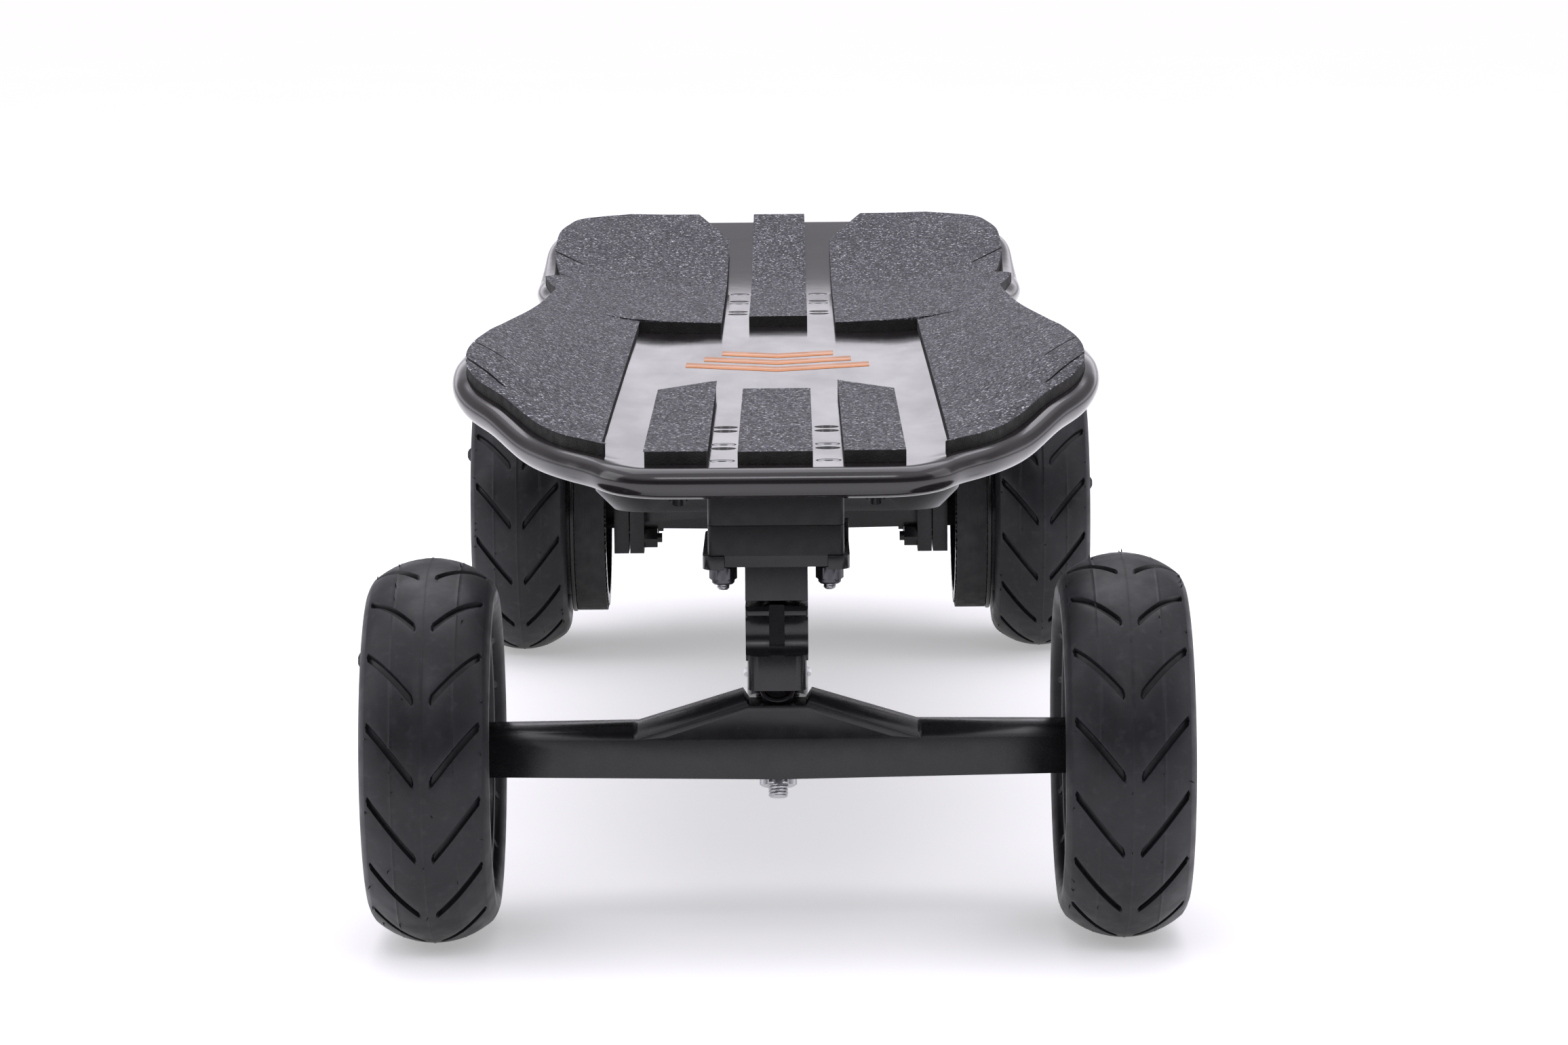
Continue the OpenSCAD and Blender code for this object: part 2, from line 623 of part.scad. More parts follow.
module truck_axle_nuts(track) {
    mirrored_x() translate([track + 16.4, 0, axle_z]) rotate([0, 90, 0]) difference() {
        union() {
            cylinder(r = 8.6, h = 1.2);
            translate([0, 0, 1.2]) cylinder(r = 8.8, h = 6.8, $fn = 6);
        }
        translate([0, 0, -1]) cylinder(d = axle_d + 2 * slip, h = 12);
    }
}

// ---- wheel pieces: the wheel's own z points outwards along the axle ----
module wheel_place(x, y, spin) {
    translate([x, y, axle_z]) rotate([0, x > 0 ? 90 : -90, 0]) rotate([0, 0, spin]) children();
}
crown_c = tyre_d / 2 - crown_r;
crown_edge = asin(tyre_w / 2 / crown_r);
tyre_wall = 5;
bead_half = 20.5;
crown = [for (a = [-crown_edge:crown_edge / 8:crown_edge + 0.01])
    [crown_c + crown_r * cos(a), crown_r * sin(a)]];
inner_arc = [for (a = [crown_edge * 0.86:-crown_edge * 0.86 / 6:-crown_edge * 0.86 - 0.01])
    [crown_c + (crown_r - tyre_wall) * cos(a), (crown_r - tyre_wall) * sin(a)]];
module tyre() {
    color("#232427") rotate_extrude($fn = 96) polygon(concat(
        [[rim_r + slip, -bead_half], [rim_r + 1.2, -bead_half - 2.6]],
        crown,
        [[rim_r + 1.2, bead_half + 2.6], [rim_r + slip, bead_half], [rim_r + slip, bead_half - 5]],
        inner_arc,
        [[rim_r + slip, -bead_half + 5]]));
}
bearing_r = 13;
bearing_t = 8;
core_half = 16.5;
barrel_r = rim_r - 3.4;
module hub() {
    color("#1b1b1d") difference() {
        union() {
            rotate_extrude($fn = 96) translate([barrel_r, -bead_half])
                square([rim_r - barrel_r, 2 * bead_half]);
            translate([0, 0, -4]) cylinder(r = barrel_r + 1, h = 8);
            translate([0, 0, -core_half]) cylinder(r = 18, h = 2 * core_half);
        }
        for (s = [-1, 1]) translate([0, 0, s * 12.2])
            cylinder(r = bearing_r + slip, h = 8.6, center = true);
        cylinder(r = 10, h = 60, center = true);
        for (k = [0:4]) rotate([0, 0, 72 * k]) translate([35.5, 0, -10]) cylinder(r = 11.5, h = 20);
        rotate([0, 0, 36]) translate([barrel_r - 9, 0, -10]) cylinder(r = 4.3, h = 20);
    }
}
module bearings() {
    color("#b9bbc0") for (s = [-1, 1]) translate([0, 0, s * 12]) difference() {
        cylinder(r = bearing_r, h = bearing_t, center = true);
        cylinder(d = axle_d + 2 * slip, h = 20, center = true);
    }
}
valve_r = barrel_r - 9;
module valve() {
    color("#202022") rotate([0, 0, 36]) {
        translate([valve_r, 0, -8]) cylinder(r = 3, h = 28);
        translate([valve_r, 0, -8]) rotate([0, 90, 0]) cylinder(r = 3, h = barrel_r - valve_r - 0.3);
        translate([valve_r, 0, 17]) cylinder(r = 4, h = 12);
        translate([valve_r, 0, 29]) cylinder(r1 = 4, r2 = 2, h = 2.75);
    }
}

// ---- belt drive: y-z plane of a truck, x out from the centre line ----
motor_at = [-86, 88];
pinion_r = 11.6;
belt_t = 2;
wheel_pulley_r = belt_r - belt_t - gap;
belt_x = [rear_track - 44.5, rear_track - 44.5 + belt_w];
plate_x = 80.6;
mount_t = 7.8;
clamp_x = 72.5;
clamp_y = [-20, 19];
clamp_z = [52.7, 97];
clamp_bolts = [[14, 60.4], [-15, 62.5], [14, 90], [-15, 90]];
// outline of a loop drawn tight around two circles, about points a and b
module wrap(a, ra, b, rb) {
    dir = atan2(b[1] - a[1], b[0] - a[0]);
    lean = acos((ra - rb) / norm(b - a));
    back = (360 - 2 * lean) / 40;
    front = lean / 10;
    polygon(concat(
        [for (k = [0:40]) a + ra * [cos(dir + lean + k * back), sin(dir + lean + k * back)]],
        [for (k = [0:20]) b + rb * [cos(dir - lean + k * front), sin(dir - lean + k * front)]]));
}
// stands an outline in y and z up at x and gives it a thickness towards +x
module slab(x, t) {
    translate([x, 0, 0]) rotate([90, 0, 90]) linear_extrude(t) children();
}
module motor_mount() {
    difference() {
        union() {
            slab(plate_x, mount_t) union() {
                translate([clamp_y[0], clamp_z[0]])
                    square([clamp_y[1] - clamp_y[0], clamp_z[1] - clamp_z[0]]);
                wrap(motor_at, 34, [-14, axle_z + 2], 20);
            }
            slab(clamp_x, 7.5) translate([clamp_y[0], clamp_z[0]])
                square([clamp_y[1] - clamp_y[0], clamp_z[1] - clamp_z[0]]);
        }
        slab(clamp_x - 1, 20) translate([beam_y[0] - slip, 64])
            square([beam_y[1] - beam_y[0] + 2 * slip, beam_top + 0.3 - 64]);
        for (b = clamp_bolts) slab(clamp_x - 1, 20) translate(b) circle(2.6);
        slab(plate_x - 1, 12) translate(motor_at) circle(9);
        slab(plate_x - 1, 12) for (a = [45:90:315])
            translate(motor_at + 22 * [cos(a), sin(a)]) circle(2.1);
    }
    for (a = [45:90:315]) translate([0, 22 * cos(a), 22 * sin(a)]) {
        slab(plate_x - 4, mount_t + 5) translate(motor_at) circle(1.85);
        slab(plate_x + mount_t, 2) translate(motor_at) circle(3.4);
    }
    for (b = clamp_bolts) {
        slab(clamp_x - 9.5, 9.5 + 16) translate(b) circle(2.5);
        slab(clamp_x - 7.05, 7) translate(b) difference() {
            circle(5.6, $fn = 6);
            circle(2.55);
        }
    }
}
module motor() {
    difference() {
        slab(18, plate_x - 18 - slip) translate(motor_at) circle(motor_d / 2);
        slab(24, plate_x - 30) translate(motor_at) circle(motor_d / 2 - 3);
        slab(60, 40) translate(motor_at) circle(5.1);
        slab(plate_x - 4.9, 5) for (a = [45:90:315])
            translate(motor_at + 22 * [cos(a), sin(a)]) circle(1.9);
    }
    slab(19, 5) translate([motor_at[0] + motor_d / 2 + 2, motor_at[1]]) circle(4);
}
module rotor() {
    slab(26, plate_x - 34) translate(motor_at) circle(motor_d / 2 - 5);
    slab(46, belt_x[1] - 46 + 1) translate(motor_at) circle(5);
    difference() {
        union() {
            slab(belt_x[0] - 0.4, belt_w + 0.8) translate(motor_at) circle(pinion_r);
            slab(belt_x[1] + 0.6, 1.4) translate(motor_at) circle(pinion_r + 3);
            slab(belt_x[0] - 2, 1.4) translate(motor_at) circle(pinion_r + 3);
        }
        slab(40, 90) translate(motor_at) circle(4.9);
    }
}
module belt() {
    slab(belt_x[0], belt_w) difference() {
        wrap([0, axle_z], belt_r, motor_at, pinion_r + gap + belt_t);
        wrap([0, axle_z], belt_r - belt_t, motor_at, pinion_r + gap);
    }
}
module wheel_pulley() {
    rim_in = belt_x[0] - rear_track - 0.8;
    rim_out = belt_x[1] - rear_track + 0.5;
    difference() {
        union() {
            translate([0, 0, rim_in]) cylinder(r = wheel_pulley_r, h = rim_out - rim_in, $fn = 96);
            translate([0, 0, rim_out - 0.1]) cylinder(r = 55.2, h = 2.4, $fn = 96);
            translate([0, 0, rim_out]) cylinder(r = 46, h = -13 - rim_out);
            translate([0, 0, -13.1]) cylinder(r = valve_r - 4.4, h = 9.05);
        }
        translate([0, 0, rim_in - 1]) cylinder(r = 18.6, h = 60);
        translate([0, 0, rim_in - 1]) cylinder(r = 46, h = 11);
        for (k = [0:4]) rotate([0, 0, 72 * k + 36]) translate([28.5, 0, -40])
            cylinder(r = 6, h = 60);
    }
}
module drive_side(side) {
    rear_truck() mirror([side > 0 ? 1 : 0, 0, 0]) children();
}

// ---- named parts ----
module pad_black() { color("#2c2b2e") children(); }
module alu_black() { color("#1e1d20") children(); }
module steel() { color("#a5a6aa") children(); }
module urethane() { color("#4b4a50") children(); }

module front_risers() { pad_black() front_truck() truck_risers(); }
module front_baseplate() { alu_black() front_truck() truck_baseplate(); }
module front_mount_bolts() { steel() front_truck() truck_mount_bolts(); }
module front_upper_kingpin() { steel() front_truck() truck_upper_kingpin(); }
module front_upper_bushings() { urethane() front_truck() truck_upper_bushings(); }
module front_swivel() { alu_black() front_truck() truck_swivel(); }
module front_lower_kingpin() { steel() front_truck() truck_lower_kingpin(); }
module front_lower_bushings() { urethane() front_truck() truck_lower_bushings(); }
module front_hanger() { alu_black() front_truck() truck_hanger(front_track); }
module front_axle() { steel() front_truck() truck_axle(front_track); }
module front_axle_nuts() { steel() front_truck() truck_axle_nuts(front_track); }
module rear_risers() { pad_black() rear_truck() truck_risers(); }
module rear_baseplate() { alu_black() rear_truck() truck_baseplate(); }
module rear_mount_bolts() { steel() rear_truck() truck_mount_bolts(); }
module rear_upper_kingpin() { steel() rear_truck() truck_upper_kingpin(); }
module rear_upper_bushings() { urethane() rear_truck() truck_upper_bushings(); }
module rear_swivel() { alu_black() rear_truck() truck_swivel(); }
module rear_lower_kingpin() { steel() rear_truck() truck_lower_kingpin(); }
module rear_lower_bushings() { urethane() rear_truck() truck_lower_bushings(); }
module rear_hanger() { alu_black() rear_truck() truck_hanger(rear_track); }
module rear_axle() { steel() rear_truck() truck_axle(rear_track); }
module rear_axle_nuts() { steel() rear_truck() truck_axle_nuts(rear_track); }

module front_left() { wheel_place(front_track, front_axle_y, 54) children(); }
module front_right() { wheel_place(-front_track, front_axle_y, 7) children(); }
module rear_left() { wheel_place(rear_track, rear_axle_y, 62) children(); }
module rear_right() { wheel_place(-rear_track, rear_axle_y, 18) children(); }

deck();
side_pad_left();
side_pad_right();
centre_pads();
deck_emblem();
enclosure();
enclosure_seal();
enclosure_screws();
battery_pack();
motor_controller();
charge_port();
power_button();
front_risers();
front_baseplate();
front_mount_bolts();
front_upper_kingpin();
front_upper_bushings();
front_swivel();
front_lower_kingpin();
front_lower_bushings();
front_hanger();
front_axle();
front_axle_nuts();
rear_risers();
rear_baseplate();
rear_mount_bolts();
rear_upper_kingpin();
rear_upper_bushings();
rear_swivel();
rear_lower_kingpin();
rear_lower_bushings();
rear_hanger();
rear_axle();
rear_axle_nuts();
front_left() tyre();  // front_left_tyre
front_left() hub();  // front_left_hub
front_left() bearings();  // front_left_bearings
front_left() valve();  // front_left_valve
front_right() tyre();  // front_right_tyre
front_right() hub();  // front_right_hub
front_right() bearings();  // front_right_bearings
front_right() valve();  // front_right_valve
rear_left() tyre();  // rear_left_tyre
rear_left() hub();  // rear_left_hub
rear_left() bearings();  // rear_left_bearings
rear_left() valve();  // rear_left_valve
rear_right() tyre();  // rear_right_tyre
rear_right() hub();  // rear_right_hub
rear_right() bearings();  // rear_right_bearings
rear_right() valve();  // rear_right_valve
alu_black() rear_left() wheel_pulley();  // left_wheel_pulley
alu_black() drive_side(1) motor_mount();  // left_motor_mount
alu_black() drive_side(1) motor();  // left_motor
steel() drive_side(1) rotor();  // left_rotor
pad_black() drive_side(1) belt();  // left_belt
alu_black() rear_right() wheel_pulley();  // right_wheel_pulley
alu_black() drive_side(-1) motor_mount();  // right_motor_mount
alu_black() drive_side(-1) motor();  // right_motor
steel() drive_side(-1) rotor();  // right_rotor
pad_black() drive_side(-1) belt();  // right_belt
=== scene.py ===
"""All-terrain electric longboard: the looks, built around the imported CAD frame."""
import math
import random

import bmesh
import bpy
import numpy as np
from mathutils import Matrix, Vector


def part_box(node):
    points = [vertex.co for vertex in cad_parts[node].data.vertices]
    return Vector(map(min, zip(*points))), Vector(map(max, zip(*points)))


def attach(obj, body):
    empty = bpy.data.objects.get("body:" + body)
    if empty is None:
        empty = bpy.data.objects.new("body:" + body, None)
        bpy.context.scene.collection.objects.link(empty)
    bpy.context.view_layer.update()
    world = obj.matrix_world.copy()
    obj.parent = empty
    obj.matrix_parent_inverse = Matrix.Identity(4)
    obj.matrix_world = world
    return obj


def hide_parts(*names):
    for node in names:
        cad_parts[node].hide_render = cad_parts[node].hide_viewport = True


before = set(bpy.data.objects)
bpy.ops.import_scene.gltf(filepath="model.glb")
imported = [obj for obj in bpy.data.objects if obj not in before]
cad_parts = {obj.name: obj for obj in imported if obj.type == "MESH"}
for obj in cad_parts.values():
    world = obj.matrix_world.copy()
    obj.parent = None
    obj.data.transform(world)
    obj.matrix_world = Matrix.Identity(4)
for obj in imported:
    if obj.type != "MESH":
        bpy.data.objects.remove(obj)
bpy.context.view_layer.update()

MM = 0.001


# ---- places read from the frame, in millimetres ----
def centre(node):
    low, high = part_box(node)
    return (np.array(low) + np.array(high)) / 2 / MM


FRONT_Y = centre("front_axle")[1]
REAR_Y = centre("rear_axle")[1]
AXLE_Z = centre("front_axle")[2]
TRACK = {"front": centre("front_left_hub")[0], "rear": centre("rear_left_hub")[0]}
WHEELS = [(f"{end}_{side}", end, side) for end in ("front", "rear") for side in ("left", "right")]
DECK_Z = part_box("front_mount_bolts")[1].z / MM
DECK_T = 12
PLATE_T, PLATE_TAB = 5.4, 7.2
PLATE_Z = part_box("front_baseplate")[1].z / MM - PLATE_TAB - PLATE_T


def along(u):
    """Y of a place u millimetres behind the front axle."""
    return u + FRONT_Y


# ---- deck shape, the same rules as the CAD deck ----
DECK_PLAN = [
    (-31, 42), (-29, 52), (-25, 60), (-18, 67.5), (-6, 75), (8, 86.5), (33, 100),
    (66, 115.5), (88, 126), (109, 131.8), (153, 133.7), (262, 131.7), (317, 128),
    (500, 122), (640, 119.3), (668, 120), (690, 124.6), (710, 126.8), (760, 127.6),
    (820, 127.8), (865, 127.2), (900, 123), (925, 117.5), (940, 109.5), (950, 98),
    (955, 84), (957, 66)]
RIM_RISE = [
    (-31, 0), (-15, 1), (3, 3), (37, 6), (69, 14), (91, 18), (109, 22), (153, 25),
    (262, 22), (317, 20), (500, 12), (666, 8), (702, 9.5), (811, 8.5), (865, 8),
    (925, 3), (957, 0)]
TAIL_RISE = [(-31, 0), (720, 0), (745, 0), (800, 4), (873, 13), (930, 20.8), (957, 24.3)]
PAD_FRONT = [
    (3, 67), (15, 81), (37, 93), (69, 109), (91, 120), (109, 125.6), (153, 127.4),
    (262, 125.4), (317, 122), (500, 115.7), (632, 113)]
PAD_TAIL = [(811, 121.4), (865, 120.8), (900, 116.8), (925, 111.2), (940, 98), (950, 84)]
NOSE_U, TAIL_U = DECK_PLAN[0][0], DECK_PLAN[-1][0]
RIM_ROLL = 6
FLAT_TOP = 52
FLAT_UNDER = 84


def curve(table, u):
    """Smooth curve through the points of a table."""
    t = np.asarray(table, float)
    u = np.asarray(u, float)
    i = np.clip(np.searchsorted(t[:, 0], u, side="right") - 1, 0, len(t) - 2)
    last = len(t) - 1

    def slope(k):
        a, b = np.maximum(k - 1, 0), np.minimum(k + 1, last)
        return (t[b, 1] - t[a, 1]) / (t[b, 0] - t[a, 0])

    h = t[i + 1, 0] - t[i, 0]
    s = np.clip((u - t[i, 0]) / h, 0, 1)
    return (t[i, 1] * (1 + 2 * s) * (1 - s) ** 2 + slope(i) * h * s * (1 - s) ** 2
            + t[i + 1, 1] * s * s * (3 - 2 * s) - slope(i + 1) * h * s * s * (1 - s))


def dish(t):
    """Share of the rim's rise at a fraction t of the way from the flat to the rim."""
    turn = math.radians(144)
    return (1 - np.cos(turn * np.clip(t, 0, 1))) / (1 - math.cos(turn))


def kick(u):
    """Rise of the tail above the flat deck."""
    return np.maximum(curve(TAIL_RISE, u), 0)


def top_z(x, u):
    """Height of the deck's top face."""
    w = curve(DECK_PLAN, u) - RIM_ROLL
    t = (np.abs(x) - FLAT_TOP) / np.maximum(w - FLAT_TOP, 8)
    return DECK_Z + kick(u) + curve(RIM_RISE, u) * dish(t)


def under_z(x, u):
    """Height of the deck's underside."""
    w = curve(DECK_PLAN, u) - RIM_ROLL
    start = np.minimum(FLAT_UNDER, 0.8 * w)
    return (DECK_Z - DECK_T + kick(u)
            + curve(RIM_RISE, u) * dish((np.abs(x) - start) / (w - start)))


# ---- mesh helpers ----
def stand(name, data):
    """A new object in the scene."""
    obj = bpy.data.objects.new(name, data)
    bpy.context.scene.collection.objects.link(obj)
    return obj


def smooth_by_angle(mesh, degrees):
    mesh.polygons.foreach_set("use_smooth", [True] * len(mesh.polygons))
    mesh.set_sharp_from_angle(angle=math.radians(degrees))


def grid_faces(rows, columns, close_rows=False, close_columns=False):
    """Quads of a grid of points stored row after row."""
    faces = []
    for r in range(rows if close_rows else rows - 1):
        for c in range(columns if close_columns else columns - 1):
            a = r * columns + c
            b = r * columns + (c + 1) % columns
            d = (r + 1) % rows * columns + c
            e = (r + 1) % rows * columns + (c + 1) % columns
            faces.append((a, b, e, d))
    return faces


class Shape:
    """Collects points in millimetres and faces, then becomes one piece."""

    def __init__(self):
        self.points, self.faces, self.slots, self.count = [], [], [], 0

    def add(self, points, faces, place=None, slot=0):
        points = np.asarray(points, float).reshape(-1, 3)
        if place is not None:
            m = np.array(place)
            points = points @ m[:3, :3].T + m[:3, 3]
        self.points.append(points)
        self.faces += [tuple(i + self.count for i in f) for f in faces]
        self.slots += [slot] * len(faces)
        self.count += len(points)

    def piece(self, name, materials, angle=35, merge=0.0):
        mesh = bpy.data.meshes.new(name)
        mesh.from_pydata((np.vstack(self.points) * MM).tolist(), [], self.faces)
        for m in materials:
            mesh.materials.append(m)
        mesh.polygons.foreach_set("material_index", self.slots)
        bm = bmesh.new()
        bm.from_mesh(mesh)
        if merge:
            bmesh.ops.remove_doubles(bm, verts=bm.verts, dist=merge * MM)
        bmesh.ops.recalc_face_normals(bm, faces=bm.faces)
        bm.to_mesh(mesh)
        bm.free()
        smooth_by_angle(mesh, angle)
        return stand(name, mesh)


def move(x=0.0, y=0.0, z=0.0):
    return Matrix.Translation((x, y, z))


def turn(axis, degrees):
    return Matrix.Rotation(math.radians(degrees), 4, axis)


def level_ring(r, angles, z):
    """Points of a ring about Z; r may vary round it."""
    return np.column_stack([r * np.cos(angles), r * np.sin(angles), np.full(len(angles), float(z))])


def lathe(profile, segments=64, closed=True, ribs=0, rib_depth=0.0):
    """Points and faces of a profile of (radius, height) turned about Z."""
    angles = np.linspace(0, 2 * math.pi, segments, endpoint=False)
    points = []
    for r, z in profile:
        radius = np.full(segments, float(r))
        if ribs and r > 0:
            radius = radius + rib_depth * np.cos(ribs * angles)
        points.append(level_ring(radius, angles, z))
    return np.vstack(points), grid_faces(len(profile), segments, closed, True)


def rounded_profile(corners, radius, steps=3):
    """A closed profile whose corners are rounded off."""
    out = []
    n = len(corners)
    for i in range(n):
        p = np.array(corners[i], float)
        a = np.array(corners[i - 1], float) - p
        b = np.array(corners[(i + 1) % n], float) - p
        la, lb = np.linalg.norm(a), np.linalg.norm(b)
        r = min(radius, la * 0.45, lb * 0.45)
        p0, p1 = p + a / la * r, p + b / lb * r
        for k in range(steps + 1):
            t = k / steps
            out.append(tuple(p0 * (1 - t) ** 2 + 2 * p * t * (1 - t) + p1 * t * t))
    return out


def ring_profile(inner, outer, low, high, radius=0.4, steps=2):
    """The section of a flat ring with rounded edges."""
    return rounded_profile([(inner, low), (outer, low), (outer, high), (inner, high)], radius, steps)


def hexagon(across, height, bore, segments=96, chamfer=0.9):
    """A nut with chamfered corners, standing on z = 0."""
    angles = np.linspace(0, 2 * math.pi, segments, endpoint=False)
    flat = across / 2 / np.cos((angles % (math.pi / 3)) - math.pi / 6)
    corner = across / 2 * 1.01
    rings = []
    slope = chamfer * 0.6
    for z, cap in ((0, corner), (slope, corner * 1.16), (height - slope, corner * 1.16), (height, corner)):
        rings.append(level_ring(np.minimum(flat, cap), angles, z))
    for r, z in ((bore + 0.5, height), (bore, height - 0.4), (bore, 0.4), (bore + 0.5, 0)):
        rings.append(level_ring(r, angles, z))
    return np.vstack(rings), grid_faces(len(rings), segments, True, True)


def thread(radius, low, high, pitch=1.25, segments=28, depth=0.42):
    """A threaded rod from low to high with rounded-off ends."""
    rows = max(int((high - low) / pitch * 6), 4)
    angles = np.linspace(0, 2 * math.pi, segments, endpoint=False)
    points = [level_ring(0, angles, low)]
    for z in np.linspace(low, high, rows):
        phase = ((z / pitch - angles / (2 * math.pi)) % 1.0)
        cut = depth * np.clip(1.25 - np.abs(phase - 0.5) * 3.2, 0, 1)
        end = min(z - low, high - z)
        r = radius - np.maximum(cut, max(0.0, 0.8 - end))
        points.append(level_ring(r, angles, z))
    points.append(level_ring(0, angles, high))
    return np.vstack(points), grid_faces(rows + 2, segments, False, True)


def cylinder(radius, low, high, segments=48, edge=0.3):
    """A solid round bar with small bevelled ends."""
    return lathe([(0, low), (radius - edge, low), (radius, low + edge),
                  (radius, high - edge), (radius - edge, high), (0, high)], segments, False)


def own_mesh(node, name):
    """A copy of a CAD node's mesh, welded and with its flat faces joined up."""
    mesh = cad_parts[node].data.copy()
    mesh.name = name
    bm = bmesh.new()
    bm.from_mesh(mesh)
    bmesh.ops.remove_doubles(bm, verts=bm.verts, dist=2e-6)
    bmesh.ops.dissolve_limit(bm, angle_limit=math.radians(0.8), verts=bm.verts, edges=bm.edges,
                             delimit={"NORMAL"})
    bm.to_mesh(mesh)
    bm.free()
    return stand(name, mesh)


def apply_modifiers(obj):
    depsgraph = bpy.context.evaluated_depsgraph_get()
    mesh = bpy.data.meshes.new_from_object(obj.evaluated_get(depsgraph))
    obj.modifiers.clear()
    old = obj.data
    mesh.name = old.name
    obj.data = mesh
    bpy.data.meshes.remove(old)


def refined(node, body, slot, material, width=0.5, segments=3, angle=38):
    """Stands a bevelled copy of a CAD node in its place."""
    obj = own_mesh(node, node + "_finish")
    bevel = obj.modifiers.new("edges", "BEVEL")
    bevel.width = width * MM
    bevel.segments = segments
    bevel.limit_method = "ANGLE"
    bevel.angle_limit = math.radians(angle)
    bevel.use_clamp_overlap = True
    bevel.miter_outer = "MITER_ARC"
    apply_modifiers(obj)
    obj.data.materials.clear()
    obj.data.materials.append(material)
    smooth_by_angle(obj.data, 32)
    finish(obj, body, slot, node)
    return obj


def finish(obj, body, slot, *nodes):
    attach(obj, body)
    if nodes:
        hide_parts(*nodes)
    return obj


def cut(obj, cutter):
    """Takes the cutter's volume out of a piece."""
    boolean = obj.modifiers.new("cut", "BOOLEAN")
    boolean.operation = "DIFFERENCE"
    boolean.solver = "EXACT"
    boolean.object = cutter
    apply_modifiers(obj)
    mesh = cutter.data
    bpy.data.objects.remove(cutter)
    bpy.data.meshes.remove(mesh)


# ---- materials ----
class Finish:
    """A node material with a few shorthand texture calls; lengths are in millimetres."""

    def __init__(self, name, rough=0.5, metal=0.0, **sockets):
        self.mat = bpy.data.materials.new(name)
        self.mat.use_nodes = True
        self.tree = self.mat.node_tree
        self.shader = self.tree.nodes["Principled BSDF"]
        self.shader.inputs["Roughness"].default_value = rough
        self.shader.inputs["Metallic"].default_value = metal
        for key, value in sockets.items():
            self.shader.inputs[key.replace("_", " ")].default_value = value
        self.coords = self.node("ShaderNodeTexCoord").outputs["Object"]
        self.height = None

    def node(self, kind, **values):
        made = self.tree.nodes.new(kind)
        for key, value in values.items():
            setattr(made, key, value)
        return made

    def link(self, output, target):
        self.tree.links.new(output, target)

    def stretched(self, x, y, z):
        mapping = self.node("ShaderNodeMapping")
        mapping.inputs["Scale"].default_value = (x, y, z)
        self.link(self.coords, mapping.inputs["Vector"])
        return mapping.outputs["Vector"]

    def noise(self, size, detail=2.0, vector=None):
        tex = self.node("ShaderNodeTexNoise")
        tex.inputs["Scale"].default_value = 1 / (size * MM)
        tex.inputs["Detail"].default_value = detail
        tex.inputs["Roughness"].default_value = 0.5
        self.link(vector or self.coords, tex.inputs["Vector"])
        return tex.outputs["Fac"]

    def cells(self, size, output="Distance"):
        tex = self.node("ShaderNodeTexVoronoi")
        tex.inputs["Scale"].default_value = 1 / (size * MM)
        self.link(self.coords, tex.inputs["Vector"])
        return tex.outputs[output]

    def ramp(self, fac, *stops):
        made = self.node("ShaderNodeValToRGB")
        while len(made.color_ramp.elements) < len(stops):
            made.color_ramp.elements.new(0.5)
        for element, (at, colour) in zip(made.color_ramp.elements, stops):
            element.position = at
            element.color = (*colour, 1) if len(colour) == 3 else colour
        self.link(fac, made.inputs["Fac"])
        return made.outputs["Color"]

    def levels(self, fac, low, high, at=(0.0, 1.0)):
        made = self.node("ShaderNodeMapRange")
        for key, value in (("From Min", at[0]), ("From Max", at[1]), ("To Min", low), ("To Max", high)):
            made.inputs[key].default_value = value
        self.link(fac, made.inputs["Value"])
        return made.outputs["Result"]

    def mix(self, fac, a, b, mode="MIX"):
        made = self.node("ShaderNodeMix", data_type="RGBA", blend_type=mode)
        for socket, value in ((made.inputs[0], fac), (made.inputs[6], a), (made.inputs[7], b)):
            if isinstance(value, bpy.types.NodeSocket):
                self.link(value, socket)
            else:
                socket.default_value = value if isinstance(value, float) else (*value, 1)
        return made.outputs[2]

    def colour(self, source):
        self.link(source, self.shader.inputs["Base Color"])

    def roughness(self, fac, low, high, at=(0.3, 0.7)):
        self.link(self.levels(fac, low, high, at), self.shader.inputs["Roughness"])

    def bump(self, height, depth):
        made = self.node("ShaderNodeBump")
        made.inputs["Strength"].default_value = 1.0
        made.inputs["Distance"].default_value = depth * MM
        self.link(height, made.inputs["Height"])
        if self.height:
            self.link(self.height, made.inputs["Normal"])
        self.height = made.outputs["Normal"]
        self.link(self.height, self.shader.inputs["Normal"])


def shade(colour, k):
    return tuple(min(c * k, 1) for c in colour)


def surface(name, colour, rough, metal=0.0, patch=30, grain=0.5, depth=0.03, vary=0.25, **sockets):
    """Base finish: slow colour patches, fine grain, uneven gloss and a light relief."""
    f = Finish(name, rough, metal, **sockets)
    slow = f.noise(patch, 4)
    fine = f.noise(grain, 3)
    base = f.ramp(slow, (0.3, shade(colour, 1 - vary)), (0.7, shade(colour, 1 + vary)))
    f.colour(f.mix(0.35, base, f.ramp(fine, (0.35, shade(colour, 0.7)), (0.65, shade(colour, 1.3)))))
    f.roughness(f.noise(patch / 3, 5), rough * 0.82, min(rough * 1.18, 1))
    f.bump(fine, depth)
    return f


